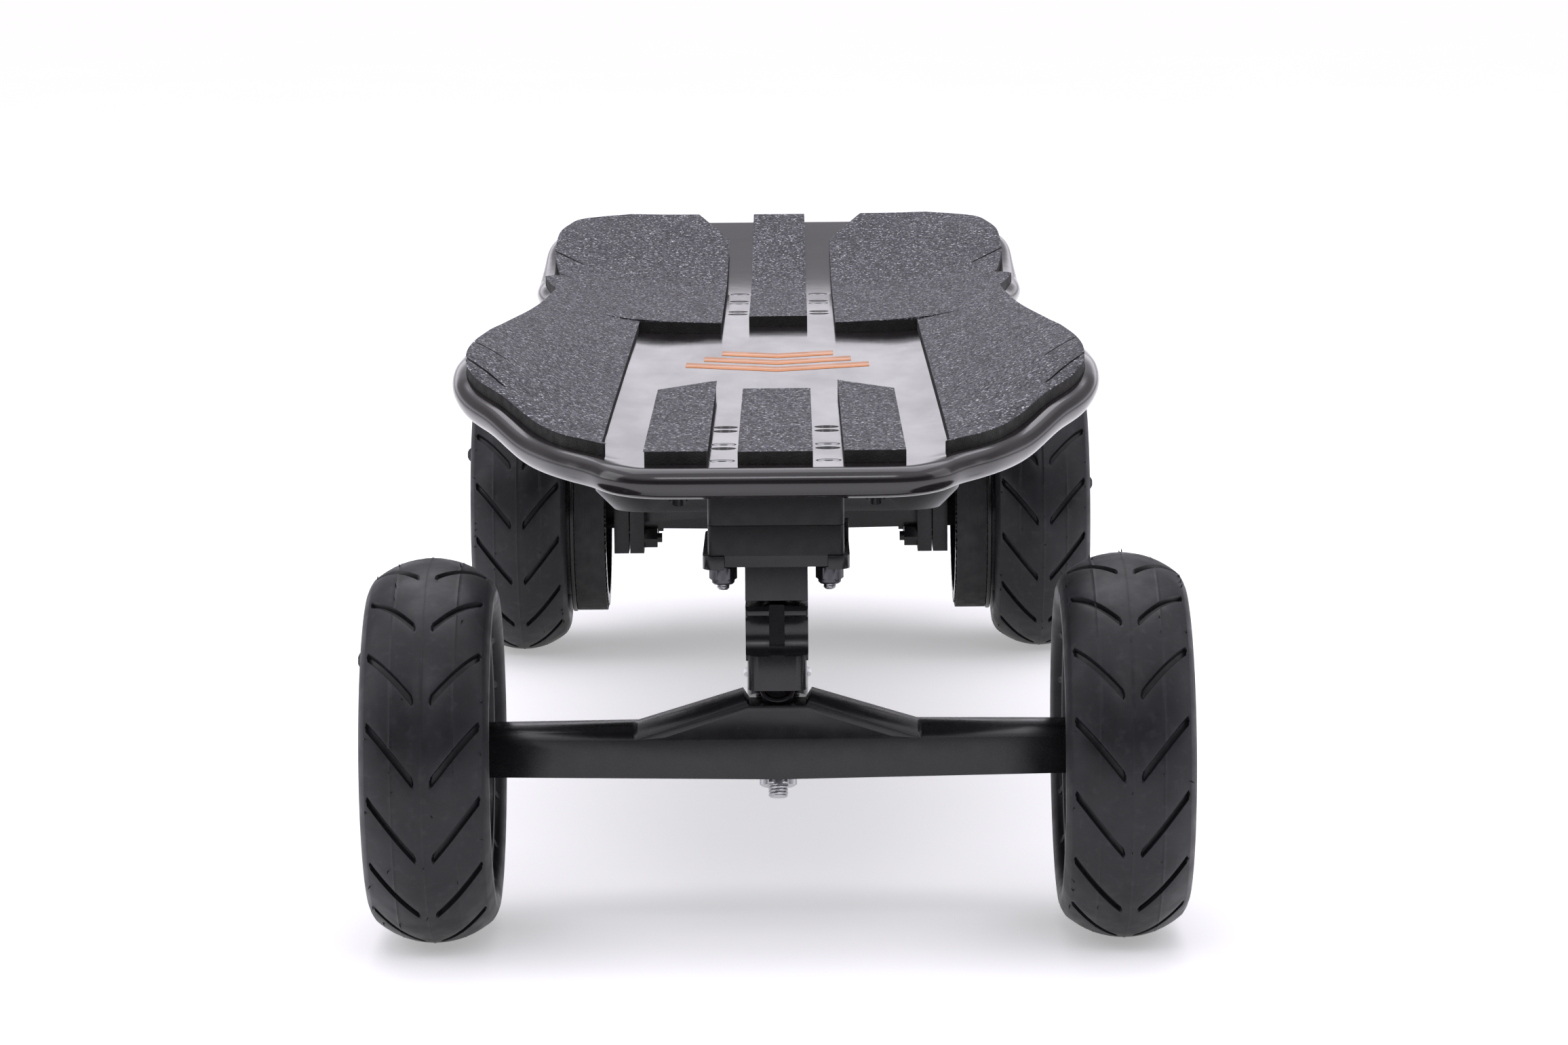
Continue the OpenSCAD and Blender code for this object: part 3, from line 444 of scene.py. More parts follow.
def deck_skin():
    colour = (0.014, 0.012, 0.013)
    f = Finish("deck_skin", 0.18, IOR=1.55, Coat_Weight=0.3, Coat_Roughness=0.06)
    slow = f.noise(60, 5)
    base = f.ramp(slow, (0.3, shade(colour, 0.8)), (0.7, shade(colour, 1.25)))
    specks = f.ramp(f.cells(9), (0.0, (0.9, 0.9, 0.9)), (0.035, (0.0, 0.0, 0.0)))
    f.colour(f.mix(specks, base, (0.006, 0.006, 0.006)))
    f.roughness(f.noise(25, 5, f.stretched(1, 0.25, 1)), 0.10, 0.2)
    f.bump(f.noise(14, 2), 0.08)
    f.bump(f.noise(0.7, 2), 0.012)
    return f.mat


def grit_foam():
    f = Finish("grit_foam", 0.75, Specular_IOR_Level=0.55)
    tint = f.cells(0.8, "Color")
    grey = f.node("ShaderNodeSeparateColor")
    f.link(tint, grey.inputs["Color"])
    base = f.ramp(grey.outputs[0], (0.0, (0.008, 0.008, 0.010)), (0.5, (0.034, 0.034, 0.044)),
                  (0.8, (0.09, 0.09, 0.11)), (0.94, (0.26, 0.26, 0.31)), (1.0, (0.95, 0.95, 1.0)))
    slow = f.ramp(f.noise(35, 5), (0.3, (0.85, 0.85, 0.85)), (0.7, (1.0, 1.0, 1.0)))
    f.colour(f.mix(1.0, base, slow, "MULTIPLY"))
    f.roughness(grey.outputs[1], 0.35, 0.95, (0.0, 1.0))
    f.bump(f.cells(0.8), 0.45)
    f.bump(f.noise(0.4, 2), 0.14)
    return f.mat


def foam_side():
    f = surface("foam_side", (0.020, 0.019, 0.018), 0.85, patch=12, grain=0.8, depth=0.25)
    f.bump(f.cells(0.6), 0.2)
    return f.mat


def tyre_rubber():
    colour = (0.009, 0.0093, 0.0118)
    f = Finish("tyre_rubber", 0.5, Specular_IOR_Level=0.38)
    slow = f.noise(18, 5)
    base = f.ramp(slow, (0.3, shade(colour, 0.75)), (0.7, shade(colour, 1.4)))
    dust = f.ramp(f.noise(4, 6), (0.55, (0, 0, 0)), (0.8, (0.12, 0.12, 0.12)))
    f.colour(f.mix(dust, base, (0.12, 0.12, 0.13)))
    f.roughness(f.noise(10, 4), 0.36, 0.55)
    f.bump(f.noise(5, 3), 0.06)
    f.bump(f.noise(0.5, 2), 0.03)
    return f.mat


def brushed(name, colour, rough, metal=1.0, stretch=(1, 30, 30)):
    f = Finish(name, rough, metal)
    lines = f.noise(6, 3, f.stretched(*stretch))
    base = f.ramp(lines, (0.3, shade(colour, 0.85)), (0.7, shade(colour, 1.1)))
    f.colour(f.mix(0.4, base, f.ramp(f.noise(15, 5), (0.3, shade(colour, 0.8)), (0.7, colour))))
    f.roughness(lines, rough * 0.8, rough * 1.25)
    f.bump(lines, 0.015)
    return f.mat


def belt_cloth():
    f = surface("belt_cloth", (0.012, 0.012, 0.013), 0.65, patch=20, grain=0.4, depth=0.05)
    wave = f.node("ShaderNodeTexWave", bands_direction="X")
    wave.inputs["Scale"].default_value = 330
    f.link(f.coords, wave.inputs["Vector"])
    f.bump(wave.outputs["Fac"], 0.06)
    return f.mat


M = {
    "deck": deck_skin(),
    "grit": grit_foam(),
    "foam": foam_side(),
    "copper": surface("copper_inlay", (0.82, 0.30, 0.085), 0.35, 0.0, patch=20, grain=0.4,
                      depth=0.01, vary=0.12, Coat_Weight=0.6, Coat_Roughness=0.15).mat,
    "alu": surface("black_aluminium", (0.007, 0.0065, 0.0075), 0.26, 0.0, patch=25, grain=0.35,
                   depth=0.010, Coat_Weight=0.1, Coat_Roughness=0.3, Specular_IOR_Level=0.42).mat,
    "zinc": brushed("zinc_steel", (0.56, 0.56, 0.58), 0.28),
    "bearing": brushed("bearing_steel", (0.62, 0.62, 0.64), 0.18),
    "blackened": brushed("blackened_steel", (0.10, 0.10, 0.11), 0.38),
    "riser": surface("riser_plastic", (0.006, 0.0055, 0.006), 0.42, patch=15, grain=0.6, depth=0.04,
                     Specular_IOR_Level=0.3).mat,
    "plastic": surface("moulded_plastic", (0.006, 0.0057, 0.0065), 0.28, patch=40, grain=0.45,
                       depth=0.05, Specular_IOR_Level=0.36).mat,
    "seal": surface("seal_rubber", (0.012, 0.012, 0.012), 0.9, patch=10, grain=0.6, depth=0.1).mat,
    "urethane": surface("urethane", (0.050, 0.048, 0.056), 0.35, patch=10, grain=0.8, depth=0.02,
                        Subsurface_Weight=0.1, Coat_Weight=0.3).mat,
    "tyre": tyre_rubber(),
    "hub": surface("hub_nylon", (0.009, 0.009, 0.010), 0.32, patch=15, grain=0.5, depth=0.03).mat,
    "valve": surface("valve_rubber", (0.018, 0.018, 0.019), 0.5, patch=6, grain=0.4, depth=0.03).mat,
    "belt": belt_cloth(),
    "motor": surface("motor_shell", (0.012, 0.012, 0.014), 0.3, patch=30, grain=0.3, depth=0.008,
                     Coat_Weight=0.6, Coat_Roughness=0.2).mat,
    "cells": surface("cell_wrap", (0.03, 0.10, 0.32), 0.28, patch=20, grain=1.0, depth=0.03,
                     Coat_Weight=0.5).mat,
    "case": brushed("controller_case", (0.22, 0.23, 0.25), 0.42, stretch=(30, 1, 30)),
    "button": surface("button_cap", (0.06, 0.06, 0.065), 0.3, patch=6, grain=0.3, depth=0.02).mat,
}


# ---- deck ----
def outline(step=3.0):
    """Half of the deck's outline, evenly spaced from the nose's middle to the tail's."""
    u = np.concatenate([np.linspace(NOSE_U, NOSE_U + 20, 120), np.linspace(NOSE_U + 20, TAIL_U - 32, 700)[1:],
                        np.linspace(TAIL_U - 32, TAIL_U, 160)[1:]])
    x = curve(DECK_PLAN, u)
    x = np.concatenate([np.linspace(0, x[0], 12)[:-1], x, np.linspace(x[-1], 0, 16)[1:]])
    u = np.concatenate([np.full(11, u[0]), u, np.full(15, u[-1])])
    for _ in range(30):
        x[1:-1] = (x[:-2] + 2 * x[1:-1] + x[2:]) / 4
        u[1:-1] = (u[:-2] + 2 * u[1:-1] + u[2:]) / 4
    length = np.concatenate([[0], np.cumsum(np.hypot(np.diff(x), np.diff(u)))])
    s = np.linspace(0, length[-1], int(length[-1] / step))
    return np.interp(s, length, x), np.interp(s, length, u)


def build_deck():
    """The shell: rings of points out from a spine on top, round the rolled rim and back below."""
    x, u = outline()
    x = np.concatenate([x, -x[-2:0:-1]])
    u = np.concatenate([u, u[-2:0:-1]])
    tx, tu = np.roll(x, -1) - np.roll(x, 1), np.roll(u, -1) - np.roll(u, 1)
    size = np.hypot(tx, tu)
    nx, nu = tu / size, -tx / size
    in_x, in_u = x - nx * RIM_ROLL, u - nu * RIM_ROLL
    high, low = top_z(in_x, in_u), under_z(in_x, in_u)
    spine = np.clip(in_u, NOSE_U + 42, TAIL_U - 62)
    rings = []
    inner = np.linspace(0, 1, 26)
    for f in inner[::-1][:-1]:
        px, pu = in_x * (1 - f), in_u + (spine - in_u) * f
        rings.append((px, pu, top_z(px, pu)))
    for a in np.radians(np.linspace(0, 180, 19)):
        reach = RIM_ROLL * (1 - math.sin(a))
        rings.append((x - nx * reach, u - nu * reach, (high + low) / 2 + (high - low) / 2 * math.cos(a)))
    for f in inner[1:]:
        px, pu = in_x * (1 - f), in_u + (spine - in_u) * f
        rings.append((px, pu, under_z(px, pu)))
    shape = Shape()
    points = np.vstack([np.column_stack([px, along(pu), pz]) for px, pu, pz in rings])
    shape.add(points, grid_faces(len(rings), len(x), False, True))
    deck = shape.piece("deck_shell", [M["deck"]], angle=40, merge=0.02)
    cut(deck, bolt_holes())
    deck.data.materials.clear()
    deck.data.materials.append(M["deck"])
    smooth_by_angle(deck.data, 30)
    finish(deck, "board", "deck_composite", "deck")


BOLT_X = 41.3 / 2
BOLT_ROWS = [-3, 52]
SPARE_ROWS = [38.3, 99, 113]
HEAD_R = 4.9


def bolt_places(rows):
    """Each bolt of both trucks; a row is measured from its own truck's axle."""
    for row in rows:
        for y in (FRONT_Y + row, REAR_Y - row):
            for x in (-BOLT_X, BOLT_X):
                yield x, y


def bolt_holes():
    """A cutter for the countersunk holes, used and spare."""
    shape = Shape()
    profile = [(0, DECK_Z - 20), (2.8, DECK_Z - 20), (2.8, DECK_Z - 2.6), (HEAD_R, DECK_Z - 0.25),
               (HEAD_R + 0.3, DECK_Z + 0.05), (HEAD_R + 0.3, DECK_Z + 6), (0, DECK_Z + 6)]
    for x, y in bolt_places(BOLT_ROWS + SPARE_ROWS):
        shape.add(*lathe(profile, 40, False), move(x, y))
    return shape.piece("hole_cutter", [], merge=0.001)


# ---- grip pads ----
PAD_BED = 0.05
PAD_TOP = 5.0
SLIT = np.array([17.5, -33.0])
SLITS = [(131, 191), (128.5, 127), (123.5, 816), (117, 727)]
SHORT_SLIT = 17
PAD_NOSE = 216
SIDE_STRIP = (26.5, 50.5)
CENTRE_HALF = 14.5


def pad_outer(u):
    """Half width of a side pad's outer edge."""
    u = np.asarray(u, float)
    corner = [(632, 113), (645, 113.6), (698, 121.6), (716, 114.2), (811, 121.4)]
    mid = np.interp(u, [p[0] for p in corner], [p[1] for p in corner])
    return np.where(u < 632, curve(PAD_FRONT, u), np.where(u < 811, mid, curve(PAD_TAIL, u)))


def pad_inner(u):
    """Half width of a side pad's inner edge."""
    u = np.asarray(u, float)
    chamfer = 28 + 18 * np.clip((u - 880) / 70, 0, 1)
    nose = 68 - 2 * np.clip((10 - u) / 7, 0, 1)
    return np.where(u <= 526, nose, chamfer)


def pad(shape, stations, inner, outer, columns, edge=0.45):
    """A foam pad between two edges, lying on the deck, with dark cut sides."""
    rows = []
    fractions = np.linspace(0, 1, columns)
    for u in stations:
        a, b = float(inner(u)), float(outer(u))
        x = a + (b - a) * fractions
        base = top_z(x, u)
        y = along(u)
        top = np.column_stack([x, np.full(columns, y), base + PAD_TOP])
        top[0, 2] -= edge * 0.4
        top[-1, 2] -= edge * 0.4
        inset = top[[0, -1]].copy()
        inset[0, 0] += edge
        inset[1, 0] -= edge
        inset[:, 2] += edge * 0.4
        low = np.column_stack([x, np.full(columns, y), base + PAD_BED])
        rows.append(np.vstack([top[:1], inset[:1], top[1:-1], inset[1:], top[-1:], low[::-1]]))
    ring = len(rows[0])
    points = np.vstack(rows)
    faces = grid_faces(len(rows), ring, False, True)
    top_cols = columns + 1
    grit, side = [], []
    for f in faces:
        on_top = f[0] % ring < top_cols and f[1] % ring <= top_cols
        (grit if on_top else side).append(f)
    caps = [tuple(range(k, k + ring)) for k in (0, len(points) - ring)]
    shape.add(points, grit)
    first = shape.count - len(points)
    shape.faces += [tuple(i + first for i in f) for f in side + caps]
    shape.slots += [1] * (len(side) + len(caps))


def slit_cutter(side):
    """Four slanted wedges that cut the slits into one side pad."""
    shape = Shape()
    way = Vector((SLIT[0], SLIT[1], 0)).normalized()
    across = Vector((-way.y, way.x, 0))
    for x, u in SLITS:
        start = Vector((x, u, 0))
        length = SHORT_SLIT if u == SLITS[-1][1] else float(np.linalg.norm(SLIT)) + 4
        corners = []
        for t, half in ((0, 1.0), (length, 0.6)):
            for k in (-half, half):
                p = start + Vector((-way.x, way.y, 0)) * t + Vector((across.x, -across.y, 0)) * k
                corners.append((side * p.x, along(p.y)))
        (x0, y0), (x1, y1), (x2, y2), (x3, y3) = corners
        low, high = DECK_Z - 2, DECK_Z + 60
        plan = ((x0, y0), (x1, y1), (x3, y3), (x2, y2))
        points = [(px, py, z) for z in (low, high) for px, py in plan]
        walls = [(k, (k + 1) % 4, (k + 1) % 4 + 4, k + 4) for k in range(4)]
        shape.add(points, [(0, 3, 2, 1), (4, 5, 6, 7)] + walls)
    return shape.piece("slit_cutter", [M["foam"], M["foam"]])


def build_side_pad(side, name):
    stations = np.unique(np.concatenate([
        np.linspace(3, 130, 52), np.linspace(130, 526, 80), [526.02], np.linspace(530, 628, 20),
        np.linspace(628, 720, 47), np.linspace(720, 811, 24), np.linspace(811, 950, 60)]))
    shape = Shape()
    pad(shape, stations, lambda u: side * pad_inner(u), lambda u: side * pad_outer(u), 34)
    obj = shape.piece(name, [M["grit"], M["foam"]], angle=30)
    cut(obj, slit_cutter(side))
    smooth_by_angle(obj.data, 28)
    finish(obj, "board", "grip_foam", "side_pad_" + ("left" if side > 0 else "right"))


def build_centre_pads():
    shape = Shape()
    near, far = SIDE_STRIP
    pad(shape, np.linspace(-15, 218, 30), lambda u: -CENTRE_HALF, lambda u: CENTRE_HALF, 8)
    for side in (-1, 1):
        pad(shape, np.linspace(-12.6, PAD_NOSE, 30), lambda u: side * near, lambda u: side * far, 8)
        pad(shape, np.linspace(PAD_NOSE, 250.9, 12), lambda u: side * near,
            lambda u: side * (far - (far - near) * (u - PAD_NOSE) / 35), 8)
    pad(shape, np.linspace(561, 949, 70), lambda u: -CENTRE_HALF + 0.1,
        lambda u: CENTRE_HALF - 0.1, 8)
    obj = shape.piece("centre_pad_set", [M["grit"], M["foam"]], angle=30)
    finish(obj, "board", "grip_foam", "centre_pads")


# ---- deck inlay ----
INLAY_U, INLAY_PITCH, INLAY_BAND = 338, 31, 20


def build_emblem():
    """Three plain nested chevrons, inlaid in the bare middle of the deck."""
    shape = Shape()
    band = INLAY_BAND
    for k in range(3):
        half, rise = (84 - 16 * k) / 2, 22 - 4 * k
        start = INLAY_U + INLAY_PITCH * k
        plan = [(-half, rise), (0, 0), (half, rise), (half, rise + band), (0, band), (-half, rise + band)]
        for left, right in ((0, 1), (1, 2)):
            quad = [plan[left], plan[right], plan[5 - right], plan[5 - left]]
            mid = np.mean(quad, axis=0)
            points = []
            for inset, z in ((0.0, 0.0), (0.0, 0.12), (0.12, 0.2)):
                for px, pu in quad:
                    points.append((px + (mid[0] - px) * inset / 20,
                                   along(start + pu + (mid[1] - pu) * inset / 5), DECK_Z + z))
            faces = grid_faces(3, 4, False, True) + [(8, 9, 10, 11), (3, 2, 1, 0)]
            shape.add(points, faces)
    obj = shape.piece("deck_inlay", [M["copper"]], angle=25)
    finish(obj, "board", "copper_inlay", "deck_emblem")


# ---- tyres ----
TYRE_R = 75
CROWN = 34.0
TREAD_EDGE = 21.8
TREAD_COUNT = 15
TREAD_LEAN = 21.0
GROOVE_HALF = 1.4
GROOVE_DEPTH = 2.2
ARM = (4.0, 20.6)
ARM_SLOPE = math.radians(TREAD_LEAN) * TYRE_R / TREAD_EDGE
ARM_COS = 1 / math.hypot(1, ARM_SLOPE)


def crown_radius(a):
    """Radius of the smooth crown at a across the tyre."""
    return TYRE_R - (CROWN - math.sqrt(CROWN ** 2 - a * a))


def tyre_rows():
    """Half of the tyre's section from the middle of the tread to the bead."""
    tread = [0, 0.3, 0.7, 1.6, 2.4, 2.9, 3.3, 3.7, 4.2, 5.2, 7, 9, 10.8, 11.7, 11.9, 12.1, 12.3, 13.2,
             15, 17, 18.8, 19.9, 20.6, 21.0, 21.35, 21.7, 22.1, 22.35]
    wall = [(22.7, 66.1), (23.3, 65.2), (24.0, 63.9), (24.45, 62.6), (24.6, 62.3), (24.72, 61.4),
            (24.75, 60.4), (24.6, 59.4), (24.75, 59.0), (24.6, 58.5), (24.2, 57.4), (23.5, 56.3),
            (22.6, 55.5), (21.6, 55.0), (20.6, 54.84), (20.2, 54.3), (19.0, 54.2)]
    return [(a, crown_radius(a)) for a in tread] + wall


def tread_height(a, d):
    """Height on the tread at |a| across the tyre and d square to the groove's middle."""
    excess = max(ARM[0] - a, a - ARM[1], 0) / ARM_COS
    edge = math.hypot(d, excess) - GROOVE_HALF
    t = min(max(-edge / 0.4, 0), 1)
    height = -GROOVE_DEPTH * t * t * (3 - 2 * t)
    if t == 0:
        height += 0.22 * math.exp(-(a / 0.35) ** 2) + 0.2 * math.exp(-((a - 12) / 0.16) ** 2)
        height -= 0.12 * math.exp(-max(edge, 0) / 0.3)
    return height


def build_tyre(name, end, side_name, seed):
    """A tyre with its chevron grooves and a few moulding hairs."""
    side = 1 if side_name == "left" else -1
    cx, cy = side * TRACK[end], FRONT_Y if end == "front" else REAR_Y
    marks = [-1.8, -1.4, -1.0, -0.5, 0, 0.5, 1.0, 1.4, 1.8]
    per_mm = math.degrees(1 / (ARM_COS * TYRE_R))
    pitch = 360 / TREAD_COUNT
    columns = [(d * per_mm, d) for d in marks]
    edge = marks[-1] * per_mm
    columns += [(edge + (pitch - 2 * edge) * k / 6, 9.0) for k in range(1, 6)]
    half = tyre_rows()
    rows = [(-a, r) for a, r in half[::-1]] + half[1:]
    points = []
    for a, r in rows:
        advance = TREAD_LEAN * (1 - min(abs(a), TREAD_EDGE) / TREAD_EDGE)
        for k in range(TREAD_COUNT):
            for offset, d in columns:
                phi = math.radians(k * pitch + offset + advance)
                dr = tread_height(abs(a), d) if abs(a) < 22.4 else 0
                radius = r + dr
                points.append((cx + a, cy - radius * math.sin(phi), AXLE_Z + radius * math.cos(phi)))
    shape = Shape()
    shape.add(points, grid_faces(len(rows), len(columns) * TREAD_COUNT, True, True))
    rng = random.Random(seed)
    for _ in range(70):
        a = rng.choice([-22.2, -12, 0, 12, 22.2, rng.uniform(-20, 20)])
        phi = rng.uniform(0, 2 * math.pi)
        radius = crown_radius(a)
        if AXLE_Z + radius * math.cos(phi) < 12:
            continue
        place = (move(cx + a, cy, AXLE_Z) @ turn("X", math.degrees(phi)) @ move(0, 0, radius - 0.3)
                 @ turn("X", rng.uniform(-35, 35)) @ turn("Y", rng.uniform(-35, 35)))
        shape.add(*lathe([(0.3, 0), (0.22, rng.uniform(0.9, 1.8)), (0, 1.9)], 5, False), place)
    obj = shape.piece(name + "_tread", [M["tyre"]], angle=38)
    finish(obj, name + "_wheel", "tyre_rubber", name + "_tyre")


# ---- hubs, valves and bearings ----
SPOKES = 5
SPIN = {"front_left": 54, "front_right": 7, "rear_left": 62, "rear_right": 18}
VALVE_R = 42.4


def wheel_place(name, end, side_name):
    side = 1 if side_name == "left" else -1
    cy = FRONT_Y if end == "front" else REAR_Y
    return move(side * TRACK[end], cy, AXLE_Z) @ turn("Y", 90 * side) @ turn("Z", SPIN[name])


def beam(shape, path, widths, low, high, place):
    """A spoke: a bar along a path in the wheel's plane with rounded long edges."""
    path = np.asarray(path, float)
    tangent = np.gradient(path, axis=0)
    tangent /= np.linalg.norm(tangent, axis=1)[:, None]
    normal = np.column_stack([-tangent[:, 1], tangent[:, 0]])
    section = rounded_profile([(-0.5, 0), (0.5, 0), (0.5, 1), (-0.5, 1)], 0.18, 3)
    rings = []
    for k, p in enumerate(path):
        lo, hi = np.interp(k / (len(path) - 1), [0, 1], low), np.interp(k / (len(path) - 1), [0, 1], high)
        ring = [(*(p + normal[k] * sx * widths[k]), lo + (hi - lo) * sz) for sx, sz in section]
        rings.append(ring)
    n = len(section)
    faces = grid_faces(len(rings), n, False, True)
    faces += [tuple(range(n)), tuple(range((len(rings) - 1) * n, len(rings) * n))]
    shape.add(np.vstack(rings), faces, place)


def build_hub(name, end, side_name):
    """Rim barrel, boss and five spokes that each fork into two arms."""
    place = wheel_place(name, end, side_name)
    shape = Shape()
    barrel = rounded_profile([(51.2, -20.4), (54.7, -20.9), (54.75, -17), (53.6, -14), (53.6, 14),
                              (54.75, 17), (54.7, 20.9), (51.2, 20.4), (50.6, 15), (50.6, -15)], 0.8, 3)
    shape.add(*lathe(barrel, 128), place)
    boss = rounded_profile([(13.05, -16.5), (17.4, -16.5), (18.6, -12), (18.6, 12), (17.4, 16.5),
                            (13.05, 16.5), (13.05, 8), (10, 8), (10, -8), (13.05, -8)], 0.6, 3)
    shape.add(*lathe(boss, 96), place)
    inner = -9.5 if end == "front" else -3.6
    for k in range(SPOKES):
        axis = place @ turn("Z", 72 * k + 36)
        stem = [(16.5 + 15 * t, 0) for t in np.linspace(0, 1, 7)]
        beam(shape, stem, np.linspace(11, 7.5, 7), (inner + 1, inner), (9, 11), axis)
        for hand in (-1, 1):
            arm = []
            for t in np.linspace(0, 1, 14):
                r = 29 + 22.6 * t
                sweep = math.radians(25 * t ** 1.4)
                arm.append((r * math.cos(sweep), hand * (1.6 + r * math.sin(sweep))))
            beam(shape, arm, np.linspace(5.2, 6.4, 14), (inner, inner - 2), (11, 14), axis)
    obj = shape.piece(name + "_hub_spokes", [M["hub"]], angle=35)
    finish(obj, name + "_wheel", "hub_plastic", name + "_hub")


def build_valve(name, end, side_name):
    """Valve stem through the rim, with its ribbed cap."""
    place = wheel_place(name, end, side_name) @ turn("Z", 36) @ move(VALVE_R, 0, 0)
    shape = Shape()
    stem = [(0, -8), (3.4, -8), (3.6, -6), (3.1, -2), (2.8, 8), (2.8, 17), (0, 17)]
    shape.add(*lathe(stem, 40, False), place)
    neck = place @ move(0, 0, -5) @ turn("Y", 90)
    shape.add(*lathe([(0, 0), (3.0, 0), (2.9, 4), (3.3, 8.6), (0, 8.6)], 32, False), neck)
    cap = [(0, 17.2), (3.2, 17.2), (4.0, 17.9), (4.1, 20), (4.15, 28), (3.7, 29.6), (2.6, 31),
           (1.2, 31.7), (0, 31.75)]
    shape.add(*lathe(cap, 96, False, 16, 0.28), place)
    obj = shape.piece(name + "_valve_cap", [M["valve"]], angle=40)
    finish(obj, name + "_wheel", "valve_rubber", name + "_valve")


def build_bearings(name, end, side_name):
    place = wheel_place(name, end, side_name)
    shape = Shape()
    for s in (-1, 1):
        at = place @ move(0, 0, s * 12)
        outer = ring_profile(10.6, 13, -4, 4, 0.4, 3)
        race = ring_profile(5.06, 7.4, -4, 4, 0.4, 3)
        shield = [(7.4, -3.4), (9, -3.7), (10.6, -3.4), (10.6, 3.4), (9, 3.7), (7.4, 3.4)]
        shape.add(*lathe(outer, 72), at)
        shape.add(*lathe(race, 72), at)
        shape.add(*lathe(shield, 72), at, 1)
    obj = shape.piece(name + "_bearing_pair", [M["bearing"], M["seal"]], angle=30)
    finish(obj, name + "_wheel", "bearing_steel", name + "_bearings")


# ---- trucks ----
TRUCK = {"front": move(0, FRONT_Y), "rear": move(0, REAR_Y) @ turn("Z", 180)}
UPPER = ((42, 116), 15)
LOWER = ((15, 79), -20)


def tilted(truck, at, tilt):
    return TRUCK[truck] @ move(0, at[0], at[1]) @ turn("X", tilt)


def build_mount_bolts(end):
    shape = Shape()
    head = [(0, -1.4), (1.7, -1.4), (1.7, -0.15), (2.2, -0.05), (4.3, -0.05), (4.6, -0.3),
            (2.5, -2.4), (2.5, -3), (0, -3)]
    for row in BOLT_ROWS:
        for x in (-BOLT_X, BOLT_X):
            place = TRUCK[end] @ move(x, row, 0)
            shape.add(*lathe(head, 48, False), place @ move(0, 0, DECK_Z))
            shape.add(*cylinder(2.5, PLATE_Z - 1, DECK_Z - 2.8, 24), place)
            shape.add(*hexagon(9.4, 5.1, 2.45, chamfer=0.7), place @ move(0, 0, PLATE_Z - 5.2), 1)
            collar = [(2.5, 0), (4.5, 0), (4.4, -1.2), (3.7, -1.9), (2.5, -2.0)]
            shape.add(*lathe(collar, 48), place @ move(0, 0, PLATE_Z - 5.1), 1)
            shape.add(*thread(2.5, PLATE_Z - 9.2, PLATE_Z + 1, 0.8, 20, 0.3), place)
    obj = shape.piece(end + "_truck_bolts", [M["zinc"], M["blackened"]], angle=35)
    finish(obj, "board", "zinc_steel", end + "_mount_bolts")


def kingpin(shape, place, nut_z, top):
    """A pin with its thread, nut and washer at the lower end."""
    shape.add(*thread(4.0, nut_z - 11, nut_z + 2), place)
    shape.add(*cylinder(4.0, nut_z + 1.5, top, 40), place)
    shape.add(*hexagon(12.6, 6.5, 3.9), place @ move(0, 0, nut_z - 6.5))
    shape.add(*lathe(ring_profile(4.1, 9, 0, 1.5), 64), place @ move(0, 0, nut_z))


def build_kingpins(end):
    upper = Shape()
    place = tilted(end, *UPPER)
    kingpin(upper, place, -13.55, 30)
    upper.add(*lathe(ring_profile(4.1, 10, 0, 1.4), 64), place @ move(0, 0, 13.45))
    obj = upper.piece(end + "_upper_pin", [M["zinc"]], angle=35)
    finish(obj, "board", "zinc_steel", end + "_upper_kingpin")
    lower = Shape()
    place = tilted(end, *LOWER)
    kingpin(lower, place, -15.55, 25)
    lower.add(*lathe(ring_profile(4.1, 13.4, 0, 2.2, 0.5), 72), place @ move(0, 0, 22.35))
    lower.add(*hexagon(12.6, 5, 3.9), place @ move(0, 0, 24.55))
    obj = lower.piece(end + "_lower_pin", [M["zinc"]], angle=35)
    finish(obj, end + "_swivel_arm", "zinc_steel", end + "_lower_kingpin")


def build_bushings(end):
    for which, (at, tilt), heights, body in (("upper", UPPER, (9.4, 8), "board"),
                                             ("lower", LOWER, (9.3, 10), end + "_swivel_arm")):
        shape = Shape()
        place = tilted(end, at, tilt)
        over, under = heights[0] + 3.9, -heights[1] - 3.9
        barrel = rounded_profile([(4.2, 4.05), (8.6, 4.05), (9.0, 6), (9.0, heights[0] + 2), (8.6, over),
                                  (4.2, over)], 0.6, 3)
        cone = rounded_profile([(4.2, -4.05), (9.0, -4.05), (9.0, -6), (7.0, under), (4.2, under)], 0.6, 3)
        shape.add(*lathe(barrel, 72), place)
        shape.add(*lathe(cone, 72), place)
        if which == "lower":
            cup = tilted(end, (-2, 100), math.degrees(math.atan2(17, 21))) @ move(0, 0, -6.8)
            ring = rounded_profile([(5.3, 0), (6, 0), (6.9, 4.6), (5.3, 4.6)], 0.4, 3)
            shape.add(*lathe(ring, 56), cup)
        obj = shape.piece(f"{end}_{which}_urethane", [M["urethane"]], angle=35)
        finish(obj, body, "urethane", f"{end}_{which}_bushings")


